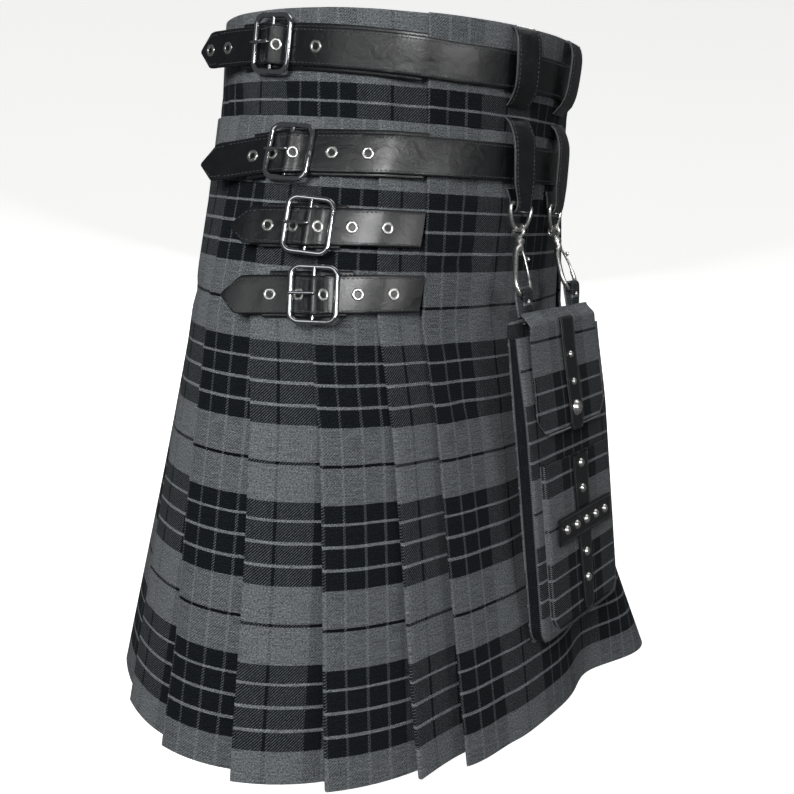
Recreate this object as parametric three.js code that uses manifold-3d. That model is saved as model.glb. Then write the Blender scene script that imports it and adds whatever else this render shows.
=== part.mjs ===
// A utility kilt, worn and hollow: knife pleats, two aprons, a waistband, four buckled leather
// straps, belt loops with D-rings, and a cargo pocket hung on two snap hooks.
// Millimetres, +Z up. The wearer faces -Y and the wearer's right side is -X.
// The origin is the middle of the waist at the waistband's top edge.
import * as THREE from 'three'
import { mergeVertices } from 'three/addons/utils/BufferGeometryUtils.js'
import Module from 'manifold-3d'

const wasm = await Module()
wasm.setup()

// Driving sizes of the cloth
const kiltLength = 610
const waistbandDepth = 85
const stitchedDown = 250 // the pleats are sewn flat from the waistband down to here
const cloth = 1.3 // wall thickness of the tartan
const gap = 0.3 // between pieces at a seam
const faceLevel = -cloth / 2 // middle of a wall whose outer face is the kilt's outer form

// The outer form: an ellipse at each drop, the length of cloth below the top edge
const form = [
  { drop: 0, halfWidth: 179, halfDepth: 167, shiftX: 0, shiftY: 0 },
  { drop: 83, halfWidth: 185, halfDepth: 162, shiftX: 2, shiftY: 4 },
  { drop: stitchedDown, halfWidth: 230, halfDepth: 155, shiftX: -5, shiftY: -6 },
  { drop: kiltLength, halfWidth: 299, halfDepth: 214, shiftX: -20, shiftY: -44 }
]
// Flutes: the whole cloth swings out (or in) towards the hem. 270 degrees is the front
const flutes = [
  { angle: 297, spread: 13, lift: 34 },
  { angle: 278, spread: 7, lift: -9 },
  { angle: 249, spread: 9, lift: 5 },
  { angle: 128, spread: 15, lift: 6 },
  { angle: 78, spread: 16, lift: 10 },
  { angle: 22, spread: 14, lift: 8 }
]
const fluteStart = 320
const flutePower = 1.6 // they grow slowly at first

// The over apron's free edge on the wearer's right, and its seam on the left
const apronEdge = [
  { drop: 0, angle: 222 },
  { drop: 83, angle: 226 },
  { drop: 140, angle: 229 },
  { drop: 250, angle: 233.3 },
  { drop: 340, angle: 235.5 },
  { drop: kiltLength, angle: 237 }
]
const frontAngle = 270

// The waistband goes once round and on under its own beginning, sunk below it by more than a wall
const waistbandWrap = { turn: 360 + 84, sinksFrom: 360 - 16, sinksOver: 12, sinks: 3.2, columns: 92 }
// The over apron lifts off the pleats at its free edge, and runs on under the last pleat
const overApron = { freeOver: 60, liftAtHip: 2, liftAtHem: 8, tuck: 22, seamOver: 34, seamStart: 38 }
// The under apron meets the first pleat, and stops short of the left seam
const underApron = { meetsOver: 60, stopsShort: 60, level: -4.4, levelShare: 0.62 }

// Knife pleats from the over apron's edge round the back to the left seam
const pleatCount = 18
const firstPleatShows = 40
const pleatHides = 0.52 // share of a pleat's pitch that runs on under its neighbour
const apronOverlap = 25 // the first pleat starts this far under the over apron
const lastPleatHides = 10 // the last pleat's edge only turns in, over the left seam
const pleatStand = [
  { drop: waistbandDepth, height: 6.8, fold: 1.9, under: 2.1 },
  { drop: stitchedDown, height: 7.4, fold: 1.9, under: 2.2 },
  { drop: 340, height: 11, fold: 2.3, under: 3 },
  { drop: kiltLength, height: 20, fold: 3.6, under: 5 }
]
const lastPleatLevel = 0.72 // and lies at this share of the pleat's height
const pleatBow = 0.06 // how far a face bows out, as a share of the pleat's height

const tau = Math.PI * 2
const radians = THREE.MathUtils.degToRad

// A value from a table, straight between its rows
function lookUp(rows, key, name, at) {
  const last = rows.length - 1
  let i = 0
  while (i < last - 1 && at > rows[i + 1][key]) i += 1
  const t = (at - rows[i][key]) / (rows[i + 1][key] - rows[i][key])
  const held = THREE.MathUtils.clamp(t, 0, 1)
  return rows[i][name] + (rows[i + 1][name] - rows[i][name]) * held
}

// Height lost down the sloping cloth: each stretch falls less where the form grows wider
function heightAt(drop) {
  let height = Math.max(0, -drop)
  for (let i = 1; i < form.length; i += 1) {
    const a = form[i - 1]
    const b = form[i]
    const run = b.drop - a.drop
    const growth = (b.halfWidth + b.halfDepth - a.halfWidth - a.halfDepth) / 2
    const fall = Math.sqrt(run * run - growth * growth)
    height -= fall * THREE.MathUtils.clamp((drop - a.drop) / run, 0, 1)
  }
  return height
}

function fluteAt(angle, drop) {
  const growth = Math.max(0, (drop - fluteStart) / (kiltLength - fluteStart)) ** flutePower
  let lift = 0
  for (const flute of flutes) {
    const away = ((angle - flute.angle + 900) % 360) - 180
    lift += flute.lift * Math.exp(-((away / flute.spread) ** 2))
  }
  return lift * growth
}

// A point on the kilt, offset outward from its form
function onForm(angle, drop, offset) {
  const turn = radians(angle)
  const a = lookUp(form, 'drop', 'halfWidth', drop)
  const b = lookUp(form, 'drop', 'halfDepth', drop)
  const out = new THREE.Vector3(b * Math.cos(turn), a * Math.sin(turn), 0).normalize()
  const point = new THREE.Vector3(
    lookUp(form, 'drop', 'shiftX', drop) + a * Math.cos(turn),
    lookUp(form, 'drop', 'shiftY', drop) + b * Math.sin(turn),
    heightAt(drop)
  )
  return point.addScaledVector(out, offset + fluteAt(angle, drop))
}

// Lengths along the form at one drop, from the over apron's free edge.
// Positive runs round the back (the angle falls), negative across the front.
const rimStep = 1.5 // degrees
const rimReach = 330 // degrees measured each way
const rims = new Map()
function rimAt(drop) {
  if (!rims.has(drop)) {
    const edge = lookUp(apronEdge, 'drop', 'angle', drop)
    const rows = []
    for (let way = -1; way <= 1; way += 2) {
      let length = 0
      let last = onForm(edge, drop, 0)
      for (let turn = rimStep; turn <= rimReach; turn += rimStep) {
        const next = onForm(edge - way * turn, drop, 0)
        length += next.distanceTo(last)
        last = next
        rows.push({ along: way * length, angle: edge - way * turn })
      }
    }
    rows.push({ along: 0, angle: edge })
    rows.sort((a, b) => a.along - b.along)
    rims.set(drop, rows)
  }
  return rims.get(drop)
}
const angleAlong = (drop, along) => lookUp(rimAt(drop), 'along', 'angle', along)

// Length from the free edge round the back to the left seam, and across the front to it
function sweep(drop) {
  const edge = lookUp(apronEdge, 'drop', 'angle', drop)
  const seam = 2 * frontAngle - edge
  const rows = rimAt(drop).map((row) => ({ along: row.along, turned: -row.angle }))
  return {
    back: lookUp(rows, 'turned', 'along', 360 - seam),
    front: -lookUp(rows, 'turned', 'along', -seam)
  }
}

// --- closed solids from grids of points ---

function solidFrom(points, faces) {
  const geometry = new THREE.BufferGeometry()
  let volume = 0
  for (const [a, b, c] of faces) {
    volume += points[a].dot(new THREE.Vector3().crossVectors(points[b], points[c]))
  }
  const index = faces.flatMap(([a, b, c]) => (volume > 0 ? [a, b, c] : [a, c, b]))
  const numbers = points.flatMap((p) => p.toArray())
  geometry.setAttribute('position', new THREE.Float32BufferAttribute(numbers, 3))
  geometry.setIndex(index)
  return geometry
}

// A wall between two grids of points, closed along its four edges
function wall(outer, inner) {
  const rows = outer.length
  const columns = outer[0].length
  const points = [...outer.flat(), ...inner.flat()]
  const at = (i, j, side) => side * rows * columns + i * columns + j
  const faces = []
  const quad = (a, b, c, d) => faces.push([a, b, c], [a, c, d])
  for (let i = 0; i < rows - 1; i += 1) {
    for (let j = 0; j < columns - 1; j += 1) {
      quad(at(i, j, 0), at(i, j + 1, 0), at(i + 1, j + 1, 0), at(i + 1, j, 0))
      quad(at(i, j, 1), at(i + 1, j, 1), at(i + 1, j + 1, 1), at(i, j + 1, 1))
    }
    quad(at(i, 0, 0), at(i + 1, 0, 0), at(i + 1, 0, 1), at(i, 0, 1))
    const end = columns - 1
    quad(at(i, end, 0), at(i, end, 1), at(i + 1, end, 1), at(i + 1, end, 0))
  }
  for (let j = 0; j < columns - 1; j += 1) {
    quad(at(0, j, 0), at(0, j, 1), at(0, j + 1, 1), at(0, j + 1, 0))
    quad(at(rows - 1, j, 0), at(rows - 1, j + 1, 0), at(rows - 1, j + 1, 1), at(rows - 1, j, 1))
  }
  return solidFrom(points, faces)
}

// A line of [x, y] points moved sideways by a distance, with mitred corners
function beside(line, distance) {
  return line.map(([x, y], i) => {
    const before = line[Math.max(0, i - 1)]
    const after = line[Math.min(line.length - 1, i + 1)]
    const a = new THREE.Vector2(x - before[0], y - before[1])
    const b = new THREE.Vector2(after[0] - x, after[1] - y)
    if (i === 0) a.copy(b)
    if (i === line.length - 1) b.copy(a)
    a.normalize()
    b.normalize()
    const normal = new THREE.Vector2(-a.y - b.y, a.x + b.x).normalize()
    const square = normal.dot(new THREE.Vector2(-a.y, a.x))
    const reach = distance / Math.max(square, 0.5)
    return [x + normal.x * reach, y + normal.y * reach]
  })
}

// Cloth hung from sections: each section is a line of [length along the rim, offset]
function clothWall(drops, section) {
  const hang = (side) => drops.map((drop) => {
    return beside(section(drop), side * cloth / 2).map(([along, offset]) => {
      return onForm(angleAlong(drop, along), drop, offset)
    })
  })
  return wall(hang(1), hang(-1))
}

const ease = (t) => {
  const held = THREE.MathUtils.clamp(t, 0, 1)
  return held * held * (3 - 2 * held)
}

// Evenly spaced numbers from one to another
function spaced(from, to, count) {
  return Array.from({ length: count + 1 }, (_, i) => from + ((to - from) * i) / count)
}

// --- cloth pieces ---

const stand = (drop, name) => lookUp(pleatStand, 'drop', name, drop)
const underLevel = (drop) => -stand(drop, 'height') / 2

// One spiral strip: from the free edge across the front, round the left side and the back,
// and on under its own beginning
function waistbandWall() {
  const drops = spaced(0, waistbandDepth, 3)
  const { turn: turnEnd, sinksFrom, sinksOver, sinks, columns } = waistbandWrap
  const hang = (side) => drops.map((drop) => {
    const edge = lookUp(apronEdge, 'drop', 'angle', drop)
    return spaced(0, turnEnd, columns).map((turn) => {
      const level = faceLevel - sinks * ease((turn - sinksFrom) / sinksOver)
      return onForm(edge + turn, drop, level + side * cloth / 2)
    })
  })
  return wall(hang(1), hang(-1))
}

// Each pleat: its face rises to a fold, the cloth turns back under it, and the next face begins
function pleatSection(drop) {
  const pitch = (sweep(drop).back - firstPleatShows) / (pleatCount - 1)
  const height = stand(drop, 'height')
  const low = -height / 2
  const hidden = pitch * pleatHides
  const line = []
  for (let k = 0; k < pleatCount; k += 1) {
    const edge = firstPleatShows + k * pitch
    const start = k === 0 ? -apronOverlap : edge - pitch - hidden
    for (const t of [0, 0.3, 0.65, 1]) {
      const bow = height * pleatBow * 4 * t * (1 - t)
      line.push([start + (edge - start) * t, low + height * t + bow])
    }
    const back = k === pleatCount - 1 ? lastPleatHides : hidden
    const inner = k === pleatCount - 1 ? height * lastPleatLevel : stand(drop, 'under')
    line.push([edge, low + height - stand(drop, 'fold')])
    line.push([edge - back, low + inner])
  }
  return line
}

// The over apron lies on the first pleat, and its left end goes under the last pleat's fold
function overApronSection(drop) {
  const { front } = sweep(drop)
  const { freeOver, liftAtHip, liftAtHem, tuck, seamOver, seamStart } = overApron
  const below = Math.max(drop, stitchedDown)
  const lift = THREE.MathUtils.mapLinear(below, stitchedDown, kiltLength, liftAtHip, liftAtHem)
  const low = underLevel(drop) - cloth / 2
  return spaced(-front - tuck, 0, 26).map((along) => {
    const free = ease(1 + along / freeOver)
    const seam = ease((-along - front + seamStart) / seamOver)
    const level = faceLevel + lift * free
    return [along, THREE.MathUtils.lerp(level, low, seam)]
  })
}

function underApronSection(drop) {
  const { front } = sweep(drop)
  const low = underLevel(drop)
  const { meetsOver, stopsShort, level, levelShare } = underApron
  const flat = Math.min(level, low * levelShare)
  return spaced(-front + stopsShort, -apronOverlap - gap - cloth / 2, 18).map((along) => {
    const meets = ease(1 + (along + apronOverlap) / meetsOver)
    return [along, THREE.MathUtils.lerp(flat, low, meets)]
  })
}

const skirtDrops = [waistbandDepth + gap, 140, 195, stitchedDown, 310, 380, 460, 540, kiltLength]

// --- leather ---

const strapLeather = 2.4
const baseLeather = 2.2
const beltLeather = 2.2

// Straps 1 and 2 lie over the front and buckle on the right; 3 and 4 start at the free edge.
// drop and offset are the strap's middle line. The rows run from the tip to the far end.
// A buckle's plane stands this far above that line.
const straps = [
  {
    name: 'strap_1',
    toEdge: true,
    width: 31,
    buckle: { angle: 178.5, drop: 28.5, lean: 0, stand: 3.1 },
    rows: [
      { angle: 150.5, drop: 32, offset: 25 },
      { angle: 160.5, drop: 30, offset: 12 },
      { angle: 172, drop: 29, offset: 4.4 },
      { angle: 205, drop: 32.5, offset: 4.4 },
      { angle: 223, drop: 34.7, offset: 4.5 },
      { angle: 232, drop: 36, offset: 2.4 },
      { angle: 316, drop: 35, offset: 2.4 }
    ]
  },
  {
    name: 'strap_2',
    toEdge: true,
    width: 32,
    buckle: { angle: 190, drop: 115.5, lean: 0, stand: 3.2 },
    rows: [
      { angle: 163, drop: 130, offset: 27 },
      { angle: 172.3, drop: 124, offset: 14 },
      { angle: 183, drop: 118, offset: 8.5 },
      { angle: 195, drop: 115, offset: 8.3 },
      { angle: 217, drop: 112.5, offset: 8.1 },
      { angle: 231, drop: 112, offset: 5 },
      { angle: 250, drop: 111.5, offset: 3 },
      { angle: 311, drop: 111.5, offset: 3 }
    ]
  },
  {
    name: 'strap_3',
    toEdge: false,
    width: 30,
    buckle: { angle: 199.3, drop: 173, lean: 2, stand: 3.3 },
    rows: [
      { angle: 177.5, drop: 178, offset: 18 },
      { angle: 185, drop: 176, offset: 11.5 },
      { angle: 191, drop: 175, offset: 8.5 },
      { angle: 207, drop: 173, offset: 8.3 },
      { angle: 219, drop: 172, offset: 7.4 },
      { angle: 229.2, drop: 172, offset: 3.9 }
    ]
  },
  {
    name: 'strap_4',
    toEdge: false,
    width: 31,
    buckle: { angle: 203.9, drop: 227, lean: 8, stand: 4.2 },
    rows: [
      { angle: 180, drop: 233, offset: 22 },
      { angle: 188, drop: 231, offset: 12.5 },
      { angle: 194, drop: 229.5, offset: 8.7 },
      { angle: 207, drop: 227, offset: 8.4 },
      { angle: 221, drop: 225, offset: 7.6 },
      { angle: 231.5, drop: 225, offset: 4.1 }
    ]
  }
]
const tipLength = 17 // a strap's end narrows to its point over this length
const tipAngles = [0.9, 3, 5.6] // degrees from the tip where its outline turns
const tipShape = [
  { back: 0, share: 0.12 },
  { back: 3, share: 0.42 },
  { back: 9, share: 0.8 },
  { back: tipLength, share: 1 }
]
const wireFrame = 2.3
const wireBar = 1.8
// A strap rises this much where it passes over its buckle's centre bar
const archClear = 0.9
const barArch = (strap) => strap.buckle.stand + wireBar + strapLeather / 2 + archClear
const archSpread = 6.6
const prongRadius = 1.3
const buckleSize = { width: 42, height: 49, corner: 10 }

// Millimetres along a strap's height, from one angle to another
const lengthBetween = (drop, from, to) => {
  const count = Math.max(2, Math.ceil(Math.abs(to - from) / 2))
  const points = spaced(from, to, count).map((angle) => onForm(angle, drop, 0))
  return points.slice(1).reduce((sum, point, i) => sum + point.distanceTo(points[i]), 0)
}

// Angles with short steps near the buckle and long ones elsewhere
function strapAngles(from, to, buckleAngle) {
  const reach = 7.5
  const longStep = 4
  const near = spaced(buckleAngle - reach, buckleAngle + reach, 12)
  const far = spaced(from, to, Math.ceil((to - from) / longStep))
    .filter((a) => Math.abs(a - buckleAngle) > reach + 1)
  return [...far, ...near].filter((a) => a >= from && a <= to).sort((a, b) => a - b)
}

// Leather that follows a strap's table, at its own width and level
function strapWall(strap, from, to, width, thickness, raise, pointed) {
  const { buckle, rows } = strap
  const tip = rows[0].angle
  const angles = strapAngles(from, to, buckle.angle)
  if (pointed) angles.push(...tipAngles.map((turn) => tip + turn))
  angles.sort((a, b) => a - b)
  const side = (way) => [-1, 1].map((edge) => angles.map((angle) => {
    const drop = lookUp(rows, 'angle', 'drop', angle)
    const offset = lookUp(rows, 'angle', 'offset', angle)
    const middle = onForm(angle, drop, offset)
    const fromTip = middle.distanceTo(onForm(tip, rows[0].drop, rows[0].offset))
    const share = pointed ? lookUp(tipShape, 'back', 'share', fromTip) : 1
    const ahead = Math.sign(angle - buckle.angle) * lengthBetween(buckle.drop, buckle.angle, angle)
    const away = ahead - (edge * width * Math.tan(radians(buckle.lean))) / 2
    const level = offset + raise(away) + way * thickness / 2
    return onForm(angle, drop + edge * share * width / 2, level)
  }))
  return wall(side(1), side(-1))
}

const overBar = (strap) => (away) => barArch(strap) * Math.exp(-((away / archSpread) ** 2))
const baseBehind = 13 // degrees of base strap behind the buckle
const baseAhead = 9 // and ahead of it, where it stops short of the apron's edge
const baseExtra = 6 // a base strap is this much wider than its strap
const baseShort = 0.8 // degrees left between its end and the apron's edge
const cradleClear = 0.4 // between the base strap and the buckle's bar
const cradleSpread = 3.5

// A base strap lies under its strap and cradles the buckle's centre bar
function baseWall(strap) {
  const { buckle, toEdge } = strap
  const edge = lookUp(apronEdge, 'drop', 'angle', buckle.drop)
  const to = toEdge ? edge - baseShort : buckle.angle + baseAhead
  const under = -(strapLeather + baseLeather) / 2 - gap
  const rise = buckle.stand - wireBar - cradleClear - under - baseLeather / 2
  const cradle = (away) => under + rise * Math.exp(-((away / cradleSpread) ** 2))
  const from = buckle.angle - baseBehind
  return strapWall(strap, from, to, strap.width + baseExtra, baseLeather, cradle, false)
}

// A belt loop as a line of [drop, offset], carried across its width
const loopWidths = [
  { drop: 0, width: 33 },
  { drop: 128, width: 33 },
  { drop: 144, width: 23 },
  { drop: 170, width: 23 }
]
function loopWall(angle, line, drift) {
  const side = (way) => [-1, 0, 1].map((edge) => beside(line, way * beltLeather / 2).map(([drop, offset]) => {
    const centre = angle + drift * (drop - line[0][0])
    const perDegree = lengthBetween(drop, centre, centre + 1)
    const width = lookUp(loopWidths, 'drop', 'width', drop)
    return onForm(centre + (edge * width) / 2 / perDegree, drop, offset)
  }))
  return wall(side(1), side(-1))
}
const upperLoop = [[1.5, 1.6], [4, 6.5], [12, 10], [24, 11.4], [44, 11.4], [54, 9], [60, 5], [64, 1.6]]
const lowerLoop = [
  [74, 1.6], [78, 6.5], [86, 11], [98, 13.2], [128, 13.2], [144, 13], [151, 11.6],
  [153.6, 8.5], [151, 5.5], [146, 4.4], [140, 3.8], [134, 2.4]
]
const loopPlaces = [{ angle: 251, drift: 0.05 }, { angle: 277, drift: 0 }]
const ringDrop = 147.2
const ringOffset = 8.7

// --- round bar and wire ---

// A wire bent round a closed flat outline of [x, y] points
function wireLoop(outline, radius, sides = 6) {
  const count = outline.length
  const points = []
  const faces = []
  outline.forEach(([x, y], i) => {
    const [bx, by] = outline[(i + count - 1) % count]
    const [ax, ay] = outline[(i + 1) % count]
    const out = new THREE.Vector3(ay - by, bx - ax, 0).normalize()
    for (let j = 0; j < sides; j += 1) {
      const turn = (j / sides) * tau
      const ring = out.clone().multiplyScalar(radius * Math.cos(turn))
      points.push(new THREE.Vector3(x, y, radius * Math.sin(turn)).add(ring))
      const a = i * sides + j
      const b = i * sides + ((j + 1) % sides)
      const c = ((i + 1) % count) * sides + ((j + 1) % sides)
      const d = ((i + 1) % count) * sides + j
      faces.push([a, b, c], [a, c, d])
    }
  })
  return solidFrom(points, faces)
}

function rod(from, to, radius, sides = 6) {
  const length = from.distanceTo(to)
  const geometry = new THREE.CylinderGeometry(radius, radius, length, sides)
  const middle = from.clone().lerp(to, 0.5)
  const way = to.clone().sub(from).normalize()
  const turn = new THREE.Quaternion().setFromUnitVectors(new THREE.Vector3(0, 1, 0), way)
  geometry.applyQuaternion(turn)
  return geometry.translate(middle.x, middle.y, middle.z)
}

function toManifold(geometry) {
  const bare = geometry.clone()
  bare.deleteAttribute('normal')
  bare.deleteAttribute('uv')
  const merged = mergeVertices(bare, 1e-4)
  return new wasm.Manifold(new wasm.Mesh({
    numProp: 3,
    vertProperties: new Float32Array(merged.attributes.position.array),
    triVerts: new Uint32Array(merged.index.array)
  }))
}

function fromManifold(solid) {
  const mesh = solid.getMesh()
  const geometry = new THREE.BufferGeometry()
  const points = new Float32Array(mesh.vertProperties)
  geometry.setAttribute('position', new THREE.BufferAttribute(points, 3))
  geometry.setIndex(new THREE.BufferAttribute(new Uint32Array(mesh.triVerts), 1))
  return geometry
}

const joined = (...pieces) => fromManifold(pieces.map(toManifold).reduce((sum, piece) => sum.add(piece)))

function roundedRectangle(width, height, corner, steps = 3) {
  const outline = []
  const centres = [[1, 1], [-1, 1], [-1, -1], [1, -1]]
  centres.forEach(([sx, sy], quarter) => {
    for (const t of spaced(quarter * 90, quarter * 90 + 90, steps)) {
      outline.push([
        sx * (width / 2 - corner) + corner * Math.cos(radians(t)),
        sy * (height / 2 - corner) + corner * Math.sin(radians(t))
      ])
    }
  })
  return outline
}

// --- pocket ---

const pocket = { width: 155, length: 290, gusset: 13, wall: 1.8, panel: 2 }
const pocketPlace = { x: -19, y: -193, z: -243, yaw: -4, tilt: 10, roll: -1.5 }
const patch = { width: 127, top: 128, bottom: 281, stand: 5, corner: 18 }
const flap = { topWidth: 122, width: 130, length: 103, chamfer: 14, wall: 2.2, rise: 3.6 }
const tabs = { away: 45, width: 13, above: 27, below: 24, wall: 1.8 }
const crossLong = { bottom: 280, topWidth: 30, bottomWidth: 20 }
const crossShort = { reach: 52, top: 179, bottom: 204 }
const stripLeather = 1.6

// The pocket's own directions: across to the wearer's right, down, and out
const pocketTurn = new THREE.Matrix4().makeRotationZ(radians(pocketPlace.yaw))
  .multiply(new THREE.Matrix4().makeRotationX(radians(-pocketPlace.tilt)))
  .multiply(new THREE.Matrix4().makeRotationY(radians(pocketPlace.roll)))
const pocketMatrix = new THREE.Matrix4()
  .makeTranslation(pocketPlace.x, pocketPlace.y, pocketPlace.z)
  .multiply(pocketTurn)
  .multiply(new THREE.Matrix4().makeBasis(
    new THREE.Vector3(-1, 0, 0), new THREE.Vector3(0, 0, -1), new THREE.Vector3(0, -1, 0)))

// A box open at its back and its top: rows go down it, columns across from edge to edge.
// Its sides rise to the front, and its last rows turn back to close the foot.
const trayAcross = [
  { u: -1, w: 0 }, { u: -0.998, w: 0.55 }, { u: -0.965, w: 0.95 }, { u: -0.8, w: 1 }, { u: 0, w: 1 },
  { u: 0.8, w: 1 }, { u: 0.965, w: 0.95 }, { u: 0.998, w: 0.55 }, { u: 1, w: 0 }
]
const trayFoot = [{ up: 5, w: 1 }, { up: 1.2, w: 0.9 }, { up: 0.2, w: 0.5 }, { up: 0, w: 0 }]
const cornerFill = 0.96 // just short of a full quarter round, so that no edge closes up
function tray(width, top, bottom, depthAt, corner, thickness) {
  const footRise = trayFoot[0].up
  const side = (inset) => {
    const body = spaced(top, bottom - corner, 7).map((v) => ({ v, w: 1 }))
    const turn = [0.35, 0.65].map((t) => ({ v: bottom - corner + (corner - footRise) * t, w: 1 }))
    const foot = trayFoot.map((row) => ({ v: bottom - row.up, w: row.w }))
    return [...body, ...turn, ...foot].map((row) => {
      const into = THREE.MathUtils.clamp((row.v - bottom + corner) / corner, 0, 1)
      const half = width / 2 - corner * (1 - Math.sqrt(1 - into * into * cornerFill)) - inset
      const v = row.v - inset * into
      const depth = depthAt(row.v) - inset
      return trayAcross.map(({ u, w }) => new THREE.Vector3(u * half, v, depth * w * row.w))
    })
  }
  return wall(side(0), side(thickness))
}
// The pocket is shallow at its mouth and full below
const mouth = 14
const mouthDepth = 9
const gussetDepth = (v) => THREE.MathUtils.lerp(mouthDepth, pocket.gusset, ease((v - 8) / 95))

// The flap leaves the back panel's top and lies over the pocket's mouth
const flapStart = 4.8
const flapTop = -6
const flapLevel = (v) => {
  return THREE.MathUtils.lerp(flapStart, gussetDepth(v) + flap.rise, ease((v - flapTop) / 12))
}
const flapRows = [flapTop, -2, 2, 7, 20, 36, 54, 72, 89]
function flapWall(width, bottomWidth, top, length, raise, thickness, chamfer, columns) {
  const rows = [...flapRows.filter((v) => v >= top), length]
  const side = (way) => rows.map((v) => {
    const share = (v - top) / (length - top)
    const half = THREE.MathUtils.lerp(width, bottomWidth, share) / 2 - Math.max(0, v - length + chamfer)
    return spaced(-half, half, columns).map((u) => {
      return new THREE.Vector3(u, v, flapLevel(v) + raise + (way * thickness) / 2)
    })
  })
  return wall(side(1), side(-1))
}

// A tab is a cloth strip folded over the hook, down both sides of the back panel's top
function tabWall(across) {
  const out = tabs.wall / 2
  const line = [
    [tabs.below, -pocket.panel - gap - out - 0.1], [4, -pocket.panel - gap - out - 0.1],
    [-tabs.above + 8, -5.4], [-tabs.above + 2, -4.8], [-tabs.above, -2.2], [-tabs.above, 0.6],
    [-tabs.above + 2, 2.8], [-tabs.above + 8, 3], [-1, gap + out + 0.1], [4, gap + out + 0.1]
  ]
  const side = (way) => [-1, 1].map((edge) => beside(line, way * tabs.wall / 2).map(([v, w]) => {
    return new THREE.Vector3(across + (edge * tabs.width) / 2, v, w)
  }))
  return wall(side(1), side(-1))
}

// A domed stud standing on z = 0
function studGeometry(radius, height, sides = 8) {
  const profile = [[0, 0], [radius, 0], [radius * 0.74, height * 0.75], [0, height]]
  return new THREE.LatheGeometry(profile.map(([r, h]) => new THREE.Vector2(r, h)), sides).rotateX(Math.PI / 2)
}

// --- colours ---

const tartan = new THREE.MeshStandardMaterial({ color: 0x3a3d40, roughness: 0.95, metalness: 0 })
const leather = new THREE.MeshStandardMaterial({ color: 0x17181a, roughness: 0.5, metalness: 0 })
const chrome = new THREE.MeshStandardMaterial({ color: 0xc4c8cc, roughness: 0.18, metalness: 1 })

const group = new THREE.Group()
const pocketGroup = new THREE.Group()
pocketGroup.applyMatrix4(pocketMatrix)
group.add(pocketGroup)

function piece(name, geometry, material, parent = group) {
  const mesh = new THREE.Mesh(geometry, material)
  mesh.name = name
  parent.add(mesh)
  return mesh
}

// Stand a mesh on the kilt: x runs towards the back, y up the cloth, z out
function standOnForm(mesh, angle, drop, offset, lean = 0) {
  const out = onForm(angle, drop, 1).sub(onForm(angle, drop, 0)).normalize()
  const rise = onForm(angle, drop - 5, 0).sub(onForm(angle, drop + 5, 0)).normalize()
  const along = new THREE.Vector3().crossVectors(rise, out).normalize()
  const outward = new THREE.Vector3().crossVectors(along, rise).normalize()
  const basis = new THREE.Matrix4().makeBasis(along, rise, outward)
  mesh.quaternion.setFromRotationMatrix(basis.multiply(new THREE.Matrix4().makeRotationZ(radians(lean))))
  mesh.position.copy(onForm(angle, drop, offset))
  return mesh
}

// Cloth round the body
piece('waistband', waistbandWall(), tartan)
piece('pleated_skirt', clothWall(skirtDrops, pleatSection), tartan)
piece('over_apron', clothWall(skirtDrops, overApronSection), tartan)
piece('under_apron', clothWall(skirtDrops, underApronSection), tartan)

// Straps with their buckles
straps.forEach((strap, i) => {
  const { buckle, rows, width } = strap
  const end = rows[rows.length - 1].angle
  const leatherWall = strapWall(strap, rows[0].angle, end, width, strapLeather, overBar(strap), true)
  piece(strap.name, leatherWall, leather)
  piece(`base_${strap.name}`, baseWall(strap), leather)

  const reach = buckleSize.width / 2 - wireFrame
  const half = buckleSize.height / 2 - wireFrame
  const outline = roundedRectangle(2 * reach, 2 * half, buckleSize.corner)
  const bar = rod(new THREE.Vector3(0, -half, 0), new THREE.Vector3(0, half, 0), wireBar)
  const level = lookUp(rows, 'angle', 'offset', buckle.angle) + buckle.stand
  const frame = piece(`buckle_${i + 1}`, joined(wireLoop(outline, wireFrame), bar), chrome)
  standOnForm(frame, buckle.angle, buckle.drop, level, buckle.lean)

  const over = barArch(strap) - buckle.stand + strapLeather / 2 + gap
  const rest = wireFrame + prongRadius + gap // the prong's tip rests on the buckle's far side
  const prongLine = new THREE.CatmullRomCurve3([
    new THREE.Vector3(0.5, 0, over + prongRadius + 0.4),
    new THREE.Vector3(-7, 0, over + 0.7),
    new THREE.Vector3(-reach + 4, 0, rest + 0.5),
    new THREE.Vector3(-reach - wireFrame, 0, rest + 0.1)
  ])
  const round = new THREE.Shape().absellipse(0, 0, prongRadius, prongRadius, 0, tau)
  const prong = new THREE.ExtrudeGeometry(round, { steps: 6, extrudePath: prongLine, curveSegments: 3 })
  standOnForm(piece(`prong_${i + 1}`, prong, chrome), buckle.angle, buckle.drop, level, buckle.lean)
})

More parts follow.
